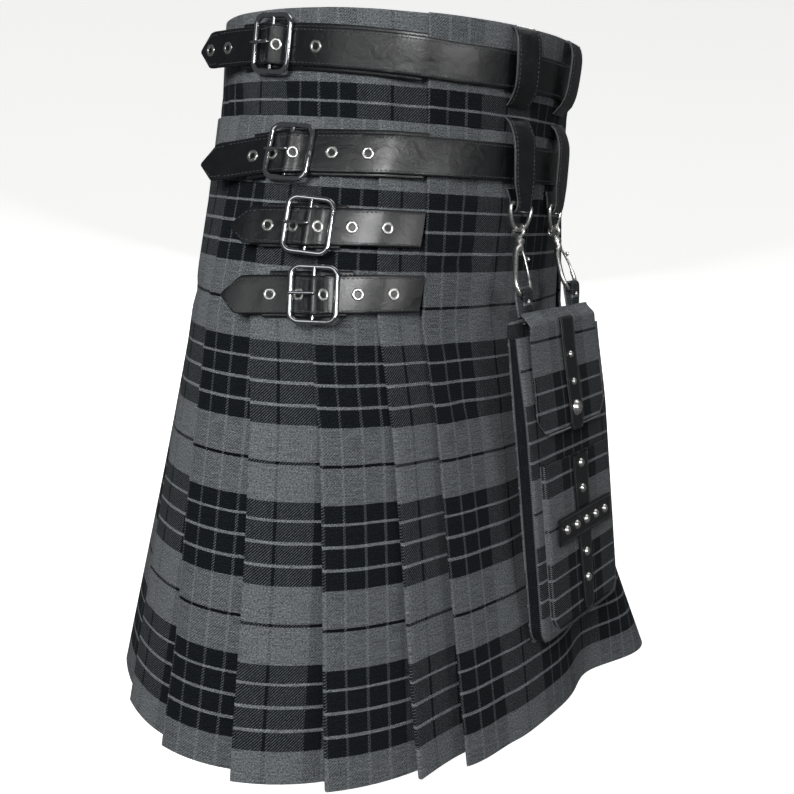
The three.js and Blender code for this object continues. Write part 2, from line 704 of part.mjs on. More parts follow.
// Belt loops, D-rings and snap hooks
const ringSize = { width: 31, depth: 22, wire: 1.7 }
const hookSize = { eye: 5.2, eyeWire: 1.5, wire: 1.7, post: 3.1, collar: 4.4, thumb: 1.4, wider: 4.4 }
const hookGrip = { up: 5.6, in: 1 } // where the bow's foot lies in the tab's fold
function ringOutline() {
  const half = ringSize.width / 2
  const outline = [[-half, 0], [-half / 3, 0], [half / 3, 0], [half, 0]]
  for (const t of spaced(0, 180, 10).slice(1, -1)) {
    outline.push([half * Math.cos(radians(t)), -ringSize.depth * Math.sin(radians(t))])
  }
  return outline
}
loopPlaces.forEach(({ angle, drift }, i) => {
  piece(`upper_loop_${i + 1}`, loopWall(angle, upperLoop, drift), leather)
  piece(`lower_loop_${i + 1}`, loopWall(angle + drift * 70, lowerLoop, drift), leather)
  const ringAngle = angle + drift * ringDrop
  const ring = piece(`d_ring_${i + 1}`, wireLoop(ringOutline(), ringSize.wire), chrome)
  standOnForm(ring, ringAngle, ringDrop, ringOffset)

  // The hook hangs from the ring's lowest point to the pocket's tab, in its own x, y plane
  ring.updateMatrixWorld(true)
  const high = new THREE.Vector3(0, -ringSize.depth, 0).applyMatrix4(ring.matrixWorld)
  const across = (i === 0 ? 1 : -1) * tabs.away
  const low = new THREE.Vector3(across, -tabs.above + hookGrip.up, -hookGrip.in).applyMatrix4(pocketMatrix)
  const length = high.distanceTo(low)
  const eyeTop = hookSize.eyeWire + ringSize.wire + gap
  const eye = new THREE.TorusGeometry(hookSize.eye, hookSize.eyeWire, 6, 12).rotateY(Math.PI / 2)
  eye.translate(0, eyeTop - hookSize.eye, 0)
  const eyeFoot = eyeTop - 2 * hookSize.eye
  const upright = (from, to, radius) => {
    return rod(new THREE.Vector3(0, eyeFoot + from, 0), new THREE.Vector3(0, eyeFoot + to, 0), radius, 8)
  }
  const post = upright(1, -13, hookSize.post)
  const collar = upright(-3, -6, hookSize.collar)
  const hookTop = eyeFoot - 10
  const hookHalf = tabs.width / 2 + hookSize.wider
  const foot = -length
  const hookOutline = [
    [0, hookTop], [-hookHalf * 0.55, hookTop - 5], [-hookHalf, foot + 14], [-hookHalf, foot + 5],
    [-hookHalf + 2.2, foot], [hookHalf - 2.2, foot], [hookHalf, foot + 5], [hookHalf, foot + 14],
    [hookHalf * 0.55, hookTop - 5]
  ]
  const thumbRoot = new THREE.Vector3(hookHalf * 0.7, hookTop - 7, 0)
  const thumb = rod(thumbRoot, new THREE.Vector3(hookHalf + 3.5, hookTop - 4, 0), hookSize.thumb)
  const bow = wireLoop(hookOutline, hookSize.wire)
  const hook = piece(`snap_hook_${i + 1}`, joined(eye, post, collar, bow, thumb), chrome)
  const rise = high.clone().sub(low).normalize()
  const pocketAcross = new THREE.Vector3().setFromMatrixColumn(pocketMatrix, 0).negate()
  const outward = new THREE.Vector3().crossVectors(pocketAcross, rise).normalize()
  const side = new THREE.Vector3().crossVectors(rise, outward).normalize()
  hook.quaternion.setFromRotationMatrix(new THREE.Matrix4().makeBasis(side, rise, outward))
  hook.position.copy(high)
})

// Pocket pieces, in the pocket's own directions
const panelOutline = roundedRectangle(pocket.width, pocket.length, 9)
const panelShape = new THREE.Shape(panelOutline.map(([x, y]) => new THREE.Vector2(x, y)))
const panel = new THREE.ExtrudeGeometry(panelShape, { depth: pocket.panel, bevelEnabled: false })
panel.translate(0, pocket.length / 2, -pocket.panel)
piece('pocket_back', panel, tartan, pocketGroup)
const frontWall = tray(pocket.width, mouth, pocket.length, gussetDepth, 16, pocket.wall)
const front = piece('pocket_front', frontWall, tartan, pocketGroup)
front.position.z = gap
const patchWall = tray(patch.width, patch.top, patch.bottom, () => patch.stand, patch.corner, pocket.wall)
const patchMesh = piece('patch_pocket', patchWall, tartan, pocketGroup)
const patchFoot = pocket.gusset + 2 * gap
patchMesh.position.z = patchFoot
const flapCloth = flapWall(flap.topWidth, flap.width, flapTop, flap.length, 0, flap.wall, flap.chamfer, 5)
piece('pocket_flap', flapCloth, tartan, pocketGroup)
const stripRaise = (flap.wall + stripLeather) / 2 + 0.9
const flapLeather = flapWall(24, 24, 2, flap.length + 3, stripRaise, stripLeather, 4, 2)
piece('flap_strip', flapLeather, leather, pocketGroup)

const patchFace = patchFoot + patch.stand + gap
function flatStrip(outline, level) {
  const shape = new THREE.Shape(outline.map(([x, y]) => new THREE.Vector2(x, y)))
  return new THREE.ExtrudeGeometry(shape, { depth: stripLeather, bevelEnabled: false }).translate(0, 0, level)
}
const longTop = crossLong.topWidth / 2
const longFoot = crossLong.bottomWidth / 2
const pointStart = crossLong.bottom - 6
piece('cross_long', flatStrip([
  [-longTop, patch.top + 2], [longTop, patch.top + 2], [longFoot, pointStart],
  [0, crossLong.bottom], [-longFoot, pointStart]
], patchFace), leather, pocketGroup)
piece('cross_short', flatStrip([
  [-crossShort.reach, crossShort.top], [crossShort.reach, crossShort.top],
  [crossShort.reach, crossShort.bottom], [-crossShort.reach, crossShort.bottom]
], patchFace + stripLeather + gap), leather, pocketGroup)

// Studs: across and down the pocket, on the leather named by its level
const longLevel = patchFace + stripLeather + gap
const shortLevel = longLevel + stripLeather + gap
const flapStud = (v) => flapLevel(v) + stripRaise + stripLeather / 2 + 2 * gap
const studs = [
  { name: 'stud_cross_1', u: 0, v: 138, level: longLevel, radius: 4.4 },
  { name: 'stud_cross_2', u: 0, v: 162, level: longLevel, radius: 4.4 },
  { name: 'stud_cross_3', u: 0, v: 223, level: longLevel, radius: 4.4 },
  { name: 'stud_cross_4', u: 0, v: 248, level: longLevel, radius: 4.4 },
  ...[-2, -1, 0, 1, 2].map((k) => {
    return { name: `stud_cross_${k + 7}`, u: k * 19, v: 191.5, level: shortLevel, radius: 4.4 }
  }),
  { name: 'stud_flap_1', u: 0, v: 37, level: flapStud(37) + 0.9, radius: 3.4 },
  { name: 'stud_flap_2', u: 0, v: 62, level: flapStud(62) + 0.8, radius: 3.4 },
  { name: 'stud_flap_3', u: 0, v: 86, level: flapStud(86) + 1.2, radius: 7.4 }
]
for (const { name, u, v, level, radius } of studs) {
  const stud = piece(name, studGeometry(radius, radius * 0.55, radius > 5 ? 14 : 8), chrome, pocketGroup)
  stud.position.set(u, v, level)
}
piece('pocket_tab_1', tabWall(tabs.away), tartan, pocketGroup)
piece('pocket_tab_2', tabWall(-tabs.away), tartan, pocketGroup)

group.updateMatrixWorld(true)
export default group
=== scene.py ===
# Utility kilt, worn and hollow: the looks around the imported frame.
# Shapes are worked out in millimetres and go into the meshes in metres.
# The wearer faces -Y, the wearer's right side is -X, and the origin is the middle of the waist.
import math

import bpy
import numpy as np
from mathutils import Matrix, Vector


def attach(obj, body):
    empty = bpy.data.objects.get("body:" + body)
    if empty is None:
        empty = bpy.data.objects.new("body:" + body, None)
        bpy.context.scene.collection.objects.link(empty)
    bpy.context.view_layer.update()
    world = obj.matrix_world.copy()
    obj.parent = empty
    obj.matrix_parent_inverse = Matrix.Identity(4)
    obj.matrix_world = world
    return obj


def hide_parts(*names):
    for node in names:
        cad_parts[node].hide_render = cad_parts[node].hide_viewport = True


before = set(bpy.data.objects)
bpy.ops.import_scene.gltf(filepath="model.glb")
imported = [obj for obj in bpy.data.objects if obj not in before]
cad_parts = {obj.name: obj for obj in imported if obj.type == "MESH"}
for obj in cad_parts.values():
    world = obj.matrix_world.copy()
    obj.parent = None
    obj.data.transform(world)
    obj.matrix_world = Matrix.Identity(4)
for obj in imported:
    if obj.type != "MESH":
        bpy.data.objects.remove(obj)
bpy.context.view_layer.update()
mm = 0.001
print("frame loaded,", len(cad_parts), "nodes")

# camera: lengths in mm from the middle of the waist, angles in degrees
camera = {
    "azimuth": 304.1, "distance": 955, "below": 138,
    "yaw": 0.88, "pitch": 12.97, "roll": 3.65,
    "focalPixels": 910.7, "imagePixels": 794, "sensor": 36,
}


def makeCamera(view):
    # looks back at the waist from its azimuth, then turns by yaw, pitch and roll in that order
    up = Vector((0, 0, 1))
    azimuth = math.radians(view["azimuth"])
    yaw, pitch, roll = [math.radians(view[key]) for key in ("yaw", "pitch", "roll")]
    back = Vector((math.sin(azimuth), -math.cos(azimuth), 0))
    place = back * view["distance"] - up * view["below"]
    level = -back * math.cos(yaw) + (-back).cross(up) * math.sin(yaw)
    side = level.cross(up)
    ahead = level * math.cos(pitch) - up * math.sin(pitch)
    side = side * math.cos(roll) + side.cross(ahead) * math.sin(roll)
    top = side.cross(ahead)
    data = bpy.data.cameras.new("camera")
    data.sensor_width = view["sensor"]
    data.lens = view["focalPixels"] / view["imagePixels"] * view["sensor"]
    data.clip_end = 20
    made = bpy.data.objects.new("camera", data)
    bpy.context.scene.collection.objects.link(made)
    turn = Matrix((side, top, -ahead)).transposed().to_4x4()
    made.matrix_world = Matrix.Translation(place * mm) @ turn
    bpy.context.scene.camera = made


makeCamera(camera)

# the kilt's form, the same tables as the construction

form = {
    "drop": [0, 83, 250, 610],
    "halfWidth": [179, 185, 230, 299],
    "halfDepth": [167, 162, 155, 214],
    "shiftX": [0, 2, -5, -20],
    "shiftY": [0, 4, -6, -44],
}
flutes = {
    "angle": [297, 278, 249, 128, 78, 22],
    "spread": [13, 7, 9, 15, 16, 14],
    "lift": [34, -9, 5, 6, 10, 8],
    "start": 320, "power": 1.6,
}
apronEdge = {"drop": [0, 83, 140, 250, 340, 610], "angle": [222, 226, 229, 233.3, 235.5, 237]}
kilt = {"length": 610, "waistband": 85, "stitchedDown": 250, "cloth": 1.3, "gap": 0.3, "front": 270}


def lookUp(table, column, at):
    return np.interp(at, table["drop"], table[column])


def fallLevels(table):
    # each stretch falls by the root of its length squared less its growth squared
    girth = (np.array(table["halfWidth"]) + np.array(table["halfDepth"])) / 2
    falls = np.sqrt(np.diff(table["drop"]) ** 2 - np.diff(girth) ** 2)
    return -np.concatenate([[0], np.cumsum(falls)])


formHeights = fallLevels(form)


def fluteAt(angle, drop):
    # bell curves round the hem, grown by a power of the drop
    growth = np.clip((drop - flutes["start"]) / (kilt["length"] - flutes["start"]), 0, None)
    lift = 0
    for middle, spread, height in zip(flutes["angle"], flutes["spread"], flutes["lift"]):
        away = (angle - middle + 900) % 360 - 180
        lift = lift + height * np.exp(-((away / spread) ** 2))
    return lift * growth ** flutes["power"]


def onForm(angle, drop, offset):
    # a point of the ellipse at this drop, moved out along the ellipse's normal
    angle, drop, offset = np.broadcast_arrays(*[np.asarray(a, float) for a in (angle, drop, offset)])
    turn = np.radians(angle)
    a, b = lookUp(form, "halfWidth", drop), lookUp(form, "halfDepth", drop)
    outX, outY = b * np.cos(turn), a * np.sin(turn)
    reach = (offset + fluteAt(angle, drop)) / np.hypot(outX, outY)
    x = lookUp(form, "shiftX", drop) + a * np.cos(turn) + outX * reach
    y = lookUp(form, "shiftY", drop) + b * np.sin(turn) + outY * reach
    z = np.interp(drop, form["drop"], formHeights) + np.clip(-drop, 0, None)
    return np.stack([x, y, z], axis=-1)


def lengthsRound(angles, drop):
    # running length along the form at one drop
    points = onForm(angles, drop, 0)
    steps = np.linalg.norm(np.diff(points, axis=0), axis=1)
    return np.concatenate([[0], np.cumsum(steps)])


def edgeAngle(drop):
    return np.interp(drop, apronEdge["drop"], apronEdge["angle"])


rimTurns = np.arange(-330, 331, 1.5)


def angleAlong(drop, along):
    # the angle reached after that length of cloth, from the apron's free edge towards the back
    angles = edgeAngle(drop) - rimTurns
    lengths = lengthsRound(angles, drop)
    lengths = lengths - np.interp(0, rimTurns, lengths)
    return np.interp(along, lengths, angles)


def sweep(drop):
    # lengths from the free edge to the left seam, round the back and across the front
    seam = 2 * kilt["front"] - edgeAngle(drop)
    angles = edgeAngle(drop) - rimTurns
    lengths = lengthsRound(angles, drop)
    lengths = lengths - np.interp(0, rimTurns, lengths)
    return np.interp(edgeAngle(drop) - seam + 360, rimTurns, lengths), \
        -np.interp(edgeAngle(drop) - seam, rimTurns, lengths)


def ease(t):
    t = np.clip(t, 0, 1)
    return t * t * (3 - 2 * t)


# meshes from arrays

def addMesh(name, points, faces, material, uv=None, sharp=40, slots=None):
    # points in mm, (n, 3); faces as rows of indices; uv in metres of cloth, one row per point
    mesh = bpy.data.meshes.new(name)
    rows = faces.tolist() if isinstance(faces, np.ndarray) else faces
    mesh.from_pydata((np.asarray(points) * mm).tolist(), [], rows)
    for each in (material if isinstance(material, list) else [material]):
        mesh.materials.append(each)
    if slots is not None:
        mesh.polygons.foreach_set("material_index", np.asarray(slots, np.int32))
    if uv is not None:
        corners = np.zeros(len(mesh.loops), np.int32)
        mesh.loops.foreach_get("vertex_index", corners)
        layer = mesh.uv_layers.new(name="weave")
        layer.data.foreach_set("uv", np.asarray(uv, np.float32)[corners].ravel())
    mesh.shade_smooth()
    mesh.set_sharp_from_angle(angle=math.radians(sharp))
    mesh.update()
    made = bpy.data.objects.new(name, mesh)
    bpy.context.scene.collection.objects.link(made)
    return made


def place(piece, slot, *nodes):
    # the piece rides on the kilt's one body and stands for its nodes
    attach(piece, "root")
    if nodes:
        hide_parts(*nodes)
    return piece


def gridFaces(rows, columns, roundRows=False, roundColumns=False):
    # quads between neighbours of a grid, wrapped where it closes on itself
    i = np.arange(rows if roundRows else rows - 1)[:, None]
    j = np.arange(columns if roundColumns else columns - 1)[None, :]
    nextI, nextJ = (i + 1) % rows, (j + 1) % columns
    corners = [i * columns + j, i * columns + nextJ, nextI * columns + nextJ, nextI * columns + j]
    return np.stack(np.broadcast_arrays(*corners), axis=-1).reshape(-1, 4)


def closedWall(outer, inner):
    # two grids of points, joined along their four edges, with faces pointing out
    rows, columns = outer.shape[:2]
    count = rows * columns
    skin = gridFaces(rows, columns)
    border = np.concatenate([
        np.arange(columns), np.arange(1, rows) * columns + columns - 1,
        (rows - 1) * columns + np.arange(columns - 2, -1, -1), np.arange(rows - 2, 0, -1) * columns])
    ahead = np.roll(border, -1)
    rim = np.stack([ahead, border, border + count, ahead + count], axis=-1)
    faces = np.concatenate([skin, skin[:, ::-1] + count, rim])
    points = np.concatenate([outer.reshape(-1, 3), inner.reshape(-1, 3)])
    return outward(points, faces), points


def outward(points, faces):
    # turns all faces of a closed mesh when its volume comes out negative
    a, b, c, d = [points[faces[:, k]] for k in range(4)]
    volume = (a * np.cross(b, c)).sum() + (a * np.cross(c, d)).sum()
    return faces if volume > 0 else faces[:, ::-1]


def beside(line, distance):
    # a line of 2D points moved sideways, with mitred corners
    step = np.diff(line, axis=0)
    step = step / np.maximum(np.linalg.norm(step, axis=1, keepdims=True), 1e-9)
    before, after = np.vstack([step[:1], step]), np.vstack([step, step[-1:]])
    normal = np.stack([-before[:, 1] - after[:, 1], before[:, 0] + after[:, 0]], axis=-1)
    normal = normal / np.maximum(np.linalg.norm(normal, axis=1, keepdims=True), 1e-9)
    square = normal[:, 0] * -before[:, 1] + normal[:, 1] * before[:, 0]
    return line + normal * (distance / np.maximum(square, 0.5))[:, None]


def areaOf(grid):
    # half the crossed diagonals of each quad, in square metres
    a, b, c, d = grid[:-1, :-1], grid[:-1, 1:], grid[1:, 1:], grid[1:, :-1]
    return float(np.linalg.norm(np.cross(c - a, d - b), axis=-1).sum() / 2 * mm * mm)


def hangCloth(name, drops, section, threads, material):
    # cloth hung from sections: each a line of (length along the rim, offset), with its own threads
    sides = []
    for side in (1, -1):
        rows = []
        for drop in drops:
            line = beside(section(drop), side * kilt["cloth"] / 2)
            rows.append(onForm(angleAlong(drop, line[:, 0]), drop, line[:, 1]))
        sides.append(np.array(rows))
    faces, points = closedWall(*sides)
    uv = np.concatenate([threads.reshape(-1, 2)] * 2) * mm
    piece = addMesh(name, points, faces, material, uv, sharp=60)
    print(name, "area", round(areaOf(sides[0]), 4))
    return piece


def carry(path, profile, side, out, closed=False):
    # a flat profile carried along a path: its x goes to the side and its y outwards at each point
    rings = path[:, None, :] + profile[..., 0:1] * side[:, None, :] + profile[..., 1:2] * out[:, None, :]
    rows, columns = rings.shape[:2]
    faces = gridFaces(rows, columns, closed, True)
    points = rings.reshape(-1, 3)
    if not closed:
        ends = np.array([path[0], path[-1]])
        tips = np.arange(columns)
        following = (tips + 1) % columns
        first, last = len(points), len(points) + 1
        points = np.vstack([points, ends])
        base = (rows - 1) * columns
        low = np.stack([following, tips, np.full(columns, first), np.full(columns, first)], axis=-1)
        high = np.stack([tips + base, following + base, np.full(columns, last),
                         np.full(columns, last)], axis=-1)
        faces = np.concatenate([faces, low, high])
    return points, outward(points, faces)


def asFaces(faces):
    # drops the doubled corner of triangles kept as quads
    return [tuple(dict.fromkeys(face)) for face in faces.tolist()]


def circle(radius, sides, flat=1.0):
    turn = np.arange(sides) / sides * 2 * np.pi
    return np.stack([radius * np.cos(turn), radius * flat * np.sin(turn)], axis=-1)


def wire(path, radius, normal, sides=12, closed=False, flat=1.0):
    # round bar along a flat curve whose plane has this normal
    path = np.asarray(path, float)
    if closed:
        tangent = np.roll(path, -1, axis=0) - np.roll(path, 1, axis=0)
    else:
        tangent = np.gradient(path, axis=0)
    tangent = tangent / np.linalg.norm(tangent, axis=1, keepdims=True)
    out = np.broadcast_to(np.asarray(normal, float), path.shape)
    side = np.cross(tangent, out)
    side = side / np.linalg.norm(side, axis=1, keepdims=True)
    size = np.broadcast_to(np.asarray(radius, float), (len(path),))
    profile = circle(1, sides, flat)[None] * size[:, None, None]
    return carry(path, profile, side, out, closed)


def lathe(profile, sides=24):
    # a profile of (radius, height) turned about z, closed on the axis at both ends
    profile = np.asarray(profile, float)
    turn = np.arange(sides) / sides * 2 * np.pi
    ring = np.stack([np.cos(turn), np.sin(turn)], axis=-1)
    points = np.concatenate([profile[:, None, :1] * ring[None], np.broadcast_to(
        profile[:, None, 1:], (len(profile), sides, 1))], axis=-1).reshape(-1, 3)
    faces = gridFaces(len(profile), sides, False, True)
    return points, outward(points, faces)


def merged(*parts):
    # several (points, faces) as one
    points, faces, start = [], [], 0
    for each, quads in parts:
        points.append(each)
        faces.append(quads + start)
        start += len(each)
    return np.concatenate(points), np.concatenate(faces)


def moved(part, matrix):
    points, faces = part
    turn, shift = matrix[:3, :3], matrix[:3, 3]
    return points @ turn.T + shift, faces


def repeated(part, places, bases):
    # one small shape set at many places, each with its own three axes as rows
    points, faces = part
    count = len(places)
    spread = np.einsum("pa,kab->kpb", points, bases) + places[:, None, :]
    index = faces[None] + (np.arange(count) * len(points))[:, None, None]
    return spread.reshape(-1, 3), index.reshape(-1, faces.shape[1])


def resample(line, spacing):
    # the lengths of even steps along a polyline, and its running length at each point
    steps = np.linalg.norm(np.diff(line, axis=0), axis=1)
    run = np.concatenate([[0], np.cumsum(steps)])
    at = np.arange(spacing * 0.5, run[-1] - spacing * 0.4, spacing)
    return at, run


# materials

def linear(hexColour):
    # sRGB hex to linear RGBA
    channels = [int(hexColour[k:k + 2], 16) / 255 for k in (1, 3, 5)]
    return [c / 12.92 if c <= 0.04045 else ((c + 0.055) / 1.055) ** 2.4 for c in channels] + [1.0]


def addNode(tree, kind, settings=None, **links):
    # adds a node; settings go on its properties, links on its inputs as values or sockets
    node = tree.nodes.new(kind)
    for key, value in (settings or {}).items():
        setattr(node, key, value)
    for key, value in links.items():
        socket = node.inputs[int(key[1:])] if key[0] == "i" and key[1:].isdigit() else node.inputs[key]
        if isinstance(value, bpy.types.NodeSocket):
            tree.links.new(value, socket)
        else:
            socket.default_value = value
    return node


def newMaterial(name, surface):
    # a Principled surface with these unlinked values
    material = bpy.data.materials.new(name)
    material.use_nodes = True
    shader = material.node_tree.nodes["Principled BSDF"]
    for key, value in surface.items():
        shader.inputs[key].default_value = value
    return material, material.node_tree, shader


def fillRamp(ramp, stops, interpolation="CONSTANT"):
    ramp.interpolation = interpolation
    while len(ramp.elements) < len(stops):
        ramp.elements.new(1.0)
    for element, (position, colour) in zip(ramp.elements, stops):
        element.position = position
        element.color = colour


tartan = {
    "name": "wovenTwillTartan", "sett": 126,
    "charcoal": "#171b1e", "grey": "#6c7072", "light": "#7d8184", "black": "#0b0d0f",
    "lightLines": [0.115, 0.255, 0.394], "charcoalEnds": 0.518, "blackLine": 0.759,
    "line": 0.019, "twill": 2.35, "thread": 0.62, "weftShare": 0.44,
}
# the gusset strip: a darker copy of the tartan, every colour turned near charcoal, painted shade for the
# pocket's side in shadow
gussetPaintedShade = {**tartan, "name": "wovenTwillPaintedShade", "charcoal": "#1d2023", "grey": "#24282b",
                  "light": "#303437", "black": "#16181a"}


def settStops(cloth):
    # the sett's bands as ramp stops: charcoal with light lines, then grey with one black line
    half = cloth["line"] / 2
    stops = [(0.0, linear(cloth["charcoal"]))]
    for middle in cloth["lightLines"]:
        stops += [(middle - half, linear(cloth["light"])), (middle + half, linear(cloth["charcoal"]))]
    stops += [(cloth["charcoalEnds"], linear(cloth["grey"])),
              (cloth["blackLine"] - half, linear(cloth["black"])),
              (cloth["blackLine"] + half, linear(cloth["grey"]))]
    return stops


def makeTartan(cloth):
    # woven wool and acrylic tartan, 2/2 twill: matte, a little fuzz that brightens at grazing angles,
    # and diagonals that cross where the warp and the weft differ
    material, tree, shader = newMaterial(cloth["name"], {
        "Roughness": 0.95, "Specular IOR Level": 0.1, "Sheen Weight": 0.03, "Sheen Roughness": 0.5})
    uv = addNode(tree, "ShaderNodeUVMap", {"uv_map": "weave"}).outputs[0]
    jitter = addNode(tree, "ShaderNodeTexNoise", {"noise_dimensions": "3D"}, Vector=uv, Scale=900, Detail=1)
    sway = addNode(tree, "ShaderNodeVectorMath", {"operation": "MULTIPLY_ADD"},
                   i0=jitter.outputs["Color"], i1=(0.0007, 0.0007, 0), i2=uv).outputs[0]
    setts = addNode(tree, "ShaderNodeVectorMath", {"operation": "SCALE"},
                    i0=sway, Scale=1000 / cloth["sett"]).outputs[0]
    parts = addNode(tree, "ShaderNodeVectorMath", {"operation": "FRACTION"}, i0=setts).outputs[0]
    split = addNode(tree, "ShaderNodeSeparateXYZ", i0=parts)
    yarn = []
    for k in range(2):
        ramp = addNode(tree, "ShaderNodeValToRGB", Fac=split.outputs[k])
        fillRamp(ramp.color_ramp, settStops(cloth))
        stretch = [60, 60, 60]
        stretch[k] = 1000 / cloth["thread"]
        along = addNode(tree, "ShaderNodeVectorMath", {"operation": "MULTIPLY"}, i0=uv, i1=stretch)
        slub = addNode(tree, "ShaderNodeTexNoise", Vector=along.outputs[0], Scale=1, Detail=2)
        gain = addNode(tree, "ShaderNodeMapRange", i0=slub.outputs[0], i1=0.3, i2=0.7, i3=0.62, i4=1.38)
        yarn.append(addNode(tree, "ShaderNodeVectorMath", {"operation": "SCALE"},
                            i0=ramp.outputs[0], Scale=gain.outputs[0]).outputs[0])
    onCloth = addNode(tree, "ShaderNodeSeparateXYZ", i0=uv)
    total = addNode(tree, "ShaderNodeMath", {"operation": "ADD"},
                    i0=onCloth.outputs[0], i1=onCloth.outputs[1])
    phase = addNode(tree, "ShaderNodeMath", {"operation": "MULTIPLY"},
                    i0=total.outputs[0], i1=2 * math.pi * 1000 / cloth["twill"])
    wave = addNode(tree, "ShaderNodeMath", {"operation": "SINE"}, i0=phase.outputs[0])
    over = addNode(tree, "ShaderNodeMapRange", {"interpolation_type": "SMOOTHSTEP"},
                   i0=wave.outputs[0], i1=-1.0, i2=0.25, i3=cloth["weftShare"], i4=1.0)
    woven = addNode(tree, "ShaderNodeMix", {"data_type": "RGBA"},
                    i0=over.outputs[0], i6=yarn[0], i7=yarn[1]).outputs[2]
    fuzz = addNode(tree, "ShaderNodeTexNoise", Vector=uv, Scale=760, Detail=4)
    nap = addNode(tree, "ShaderNodeMapRange", i0=fuzz.outputs[0], i1=0.3, i2=0.7, i3=0.32, i4=1.66)
    coloured = addNode(tree, "ShaderNodeVectorMath", {"operation": "SCALE"}, i0=woven, Scale=nap.outputs[0])
    tree.links.new(coloured.outputs[0], shader.inputs["Base Color"])
    height = addNode(tree, "ShaderNodeMath", {"operation": "MULTIPLY_ADD"},
                     i0=wave.outputs[0], i1=0.35, i2=fuzz.outputs[0])
    bump = addNode(tree, "ShaderNodeBump", Strength=0.55, Distance=0.0004, Height=height.outputs[0])
    tree.links.new(bump.outputs[0], shader.inputs["Normal"])
    return material


leather = {
    "colour": "#0c0d0e", "worn": "#15171a", "grain": 1.1, "roughness": (0.3, 0.46),
    "folds": 62, "stretch": (1, 1, 1.4), "foldDepth": 0.0021,
}


def makeLeather(hide):
    # chrome tanned cowhide, pigment black, lightly polished: soft wide highlights broken by fine grain
    material, tree, shader = newMaterial("blackCowhide", {
        "Specular IOR Level": 0.5, "Coat Weight": 0.5, "Coat Roughness": 0.26})
    where = addNode(tree, "ShaderNodeTexCoord").outputs["Object"]
    cells = addNode(tree, "ShaderNodeTexVoronoi", {"feature": "DISTANCE_TO_EDGE"},
                    Vector=where, Scale=1000 / hide["grain"])
    cloud = addNode(tree, "ShaderNodeTexNoise", Vector=where, Scale=90, Detail=4)
    colour = addNode(tree, "ShaderNodeMix", {"data_type": "RGBA"}, i0=cloud.outputs[0],
                     i6=linear(hide["colour"]), i7=linear(hide["worn"]))
    tree.links.new(colour.outputs[2], shader.inputs["Base Color"])
    rough = addNode(tree, "ShaderNodeMapRange", i0=cloud.outputs[0], i1=0.3, i2=0.7,
                    i3=hide["roughness"][0], i4=hide["roughness"][1])
    tree.links.new(rough.outputs[0], shader.inputs["Roughness"])
    grain = addNode(tree, "ShaderNodeMapRange", i0=cells.outputs[0], i1=0.0, i2=0.12)
    waves = addNode(tree, "ShaderNodeTexNoise", Vector=where, Scale=260, Detail=3)
    height = addNode(tree, "ShaderNodeMath", {"operation": "MULTIPLY_ADD"},
                     i0=grain.outputs[0], i1=0.35, i2=waves.outputs[0])
    fine = addNode(tree, "ShaderNodeBump", Strength=0.35, Distance=0.0003, Height=height.outputs[0])
    drawn = addNode(tree, "ShaderNodeVectorMath", {"operation": "MULTIPLY"}, i0=where, i1=hide["stretch"])
    folds = addNode(tree, "ShaderNodeTexNoise", Vector=drawn.outputs[0], Scale=hide["folds"], Detail=3,
                    Distortion=0.6)
    broad = addNode(tree, "ShaderNodeBump", Strength=0.6, Distance=hide["foldDepth"],
                    Height=folds.outputs[0], Normal=fine.outputs[0])
    tree.links.new(broad.outputs[0], shader.inputs["Normal"])
    return material


def mottle(tree, shader, dark, pale, scale, detail=2):
    # two close tones mixed by fine noise; hands back the noise for a relief
    where = addNode(tree, "ShaderNodeTexCoord").outputs["Object"]
    noise = addNode(tree, "ShaderNodeTexNoise", Vector=where, Scale=scale, Detail=detail).outputs[0]
    colour = addNode(tree, "ShaderNodeMix", {"data_type": "RGBA"}, i0=noise, i6=linear(dark), i7=linear(pale))
    tree.links.new(colour.outputs[2], shader.inputs["Base Color"])
    return noise


def makeEdgeAndHighlight():
    # the cut edge of the hide, matte with a fibrous surface, painted paler: partly the raw core's own colour,
    # partly a painted highlight along the edge
    material, tree, shader = newMaterial("leatherCutEdgeAndHighlight", {"Roughness": 0.7, "Specular IOR Level": 0.3})
    fibre = mottle(tree, shader, "#2b2d30", "#6e7175", 900, 3)
    bump = addNode(tree, "ShaderNodeBump", Strength=0.3, Distance=0.0002, Height=fibre)
    tree.links.new(bump.outputs[0], shader.inputs["Normal"])
    return material


def makeMetal(name, colour, low, high, scratch):
    # plated metal: a mirror with a faint haze, its roughness broken by handling marks
    material, tree, shader = newMaterial(name, {"Metallic": 1.0, "Base Color": linear(colour)})
    where = addNode(tree, "ShaderNodeTexCoord").outputs["Object"]
    marks = addNode(tree, "ShaderNodeTexNoise", Vector=where, Scale=420, Detail=4)
    rough = addNode(tree, "ShaderNodeMapRange", i0=marks.outputs[0], i1=0.35, i2=0.7, i3=low, i4=high)
    tree.links.new(rough.outputs[0], shader.inputs["Roughness"])
    bump = addNode(tree, "ShaderNodeBump", Strength=scratch, Distance=0.0002, Height=marks.outputs[0])
    tree.links.new(bump.outputs[0], shader.inputs["Normal"])
    return material


def makeThread(name, dark, pale):
    # twisted sewing thread: two plies that catch a little light
    material, tree, shader = newMaterial(name, {"Roughness": 0.6, "Specular IOR Level": 0.35})
    mottle(tree, shader, dark, pale, 1600)
    return material


def makeHoleDark():
    # the shaded leather and cloth inside an eyelet
    material, tree, shader = newMaterial("eyeletShade", {"Roughness": 0.9, "Specular IOR Level": 0.1})
    mottle(tree, shader, "#050506", "#121315", 700)
    return material


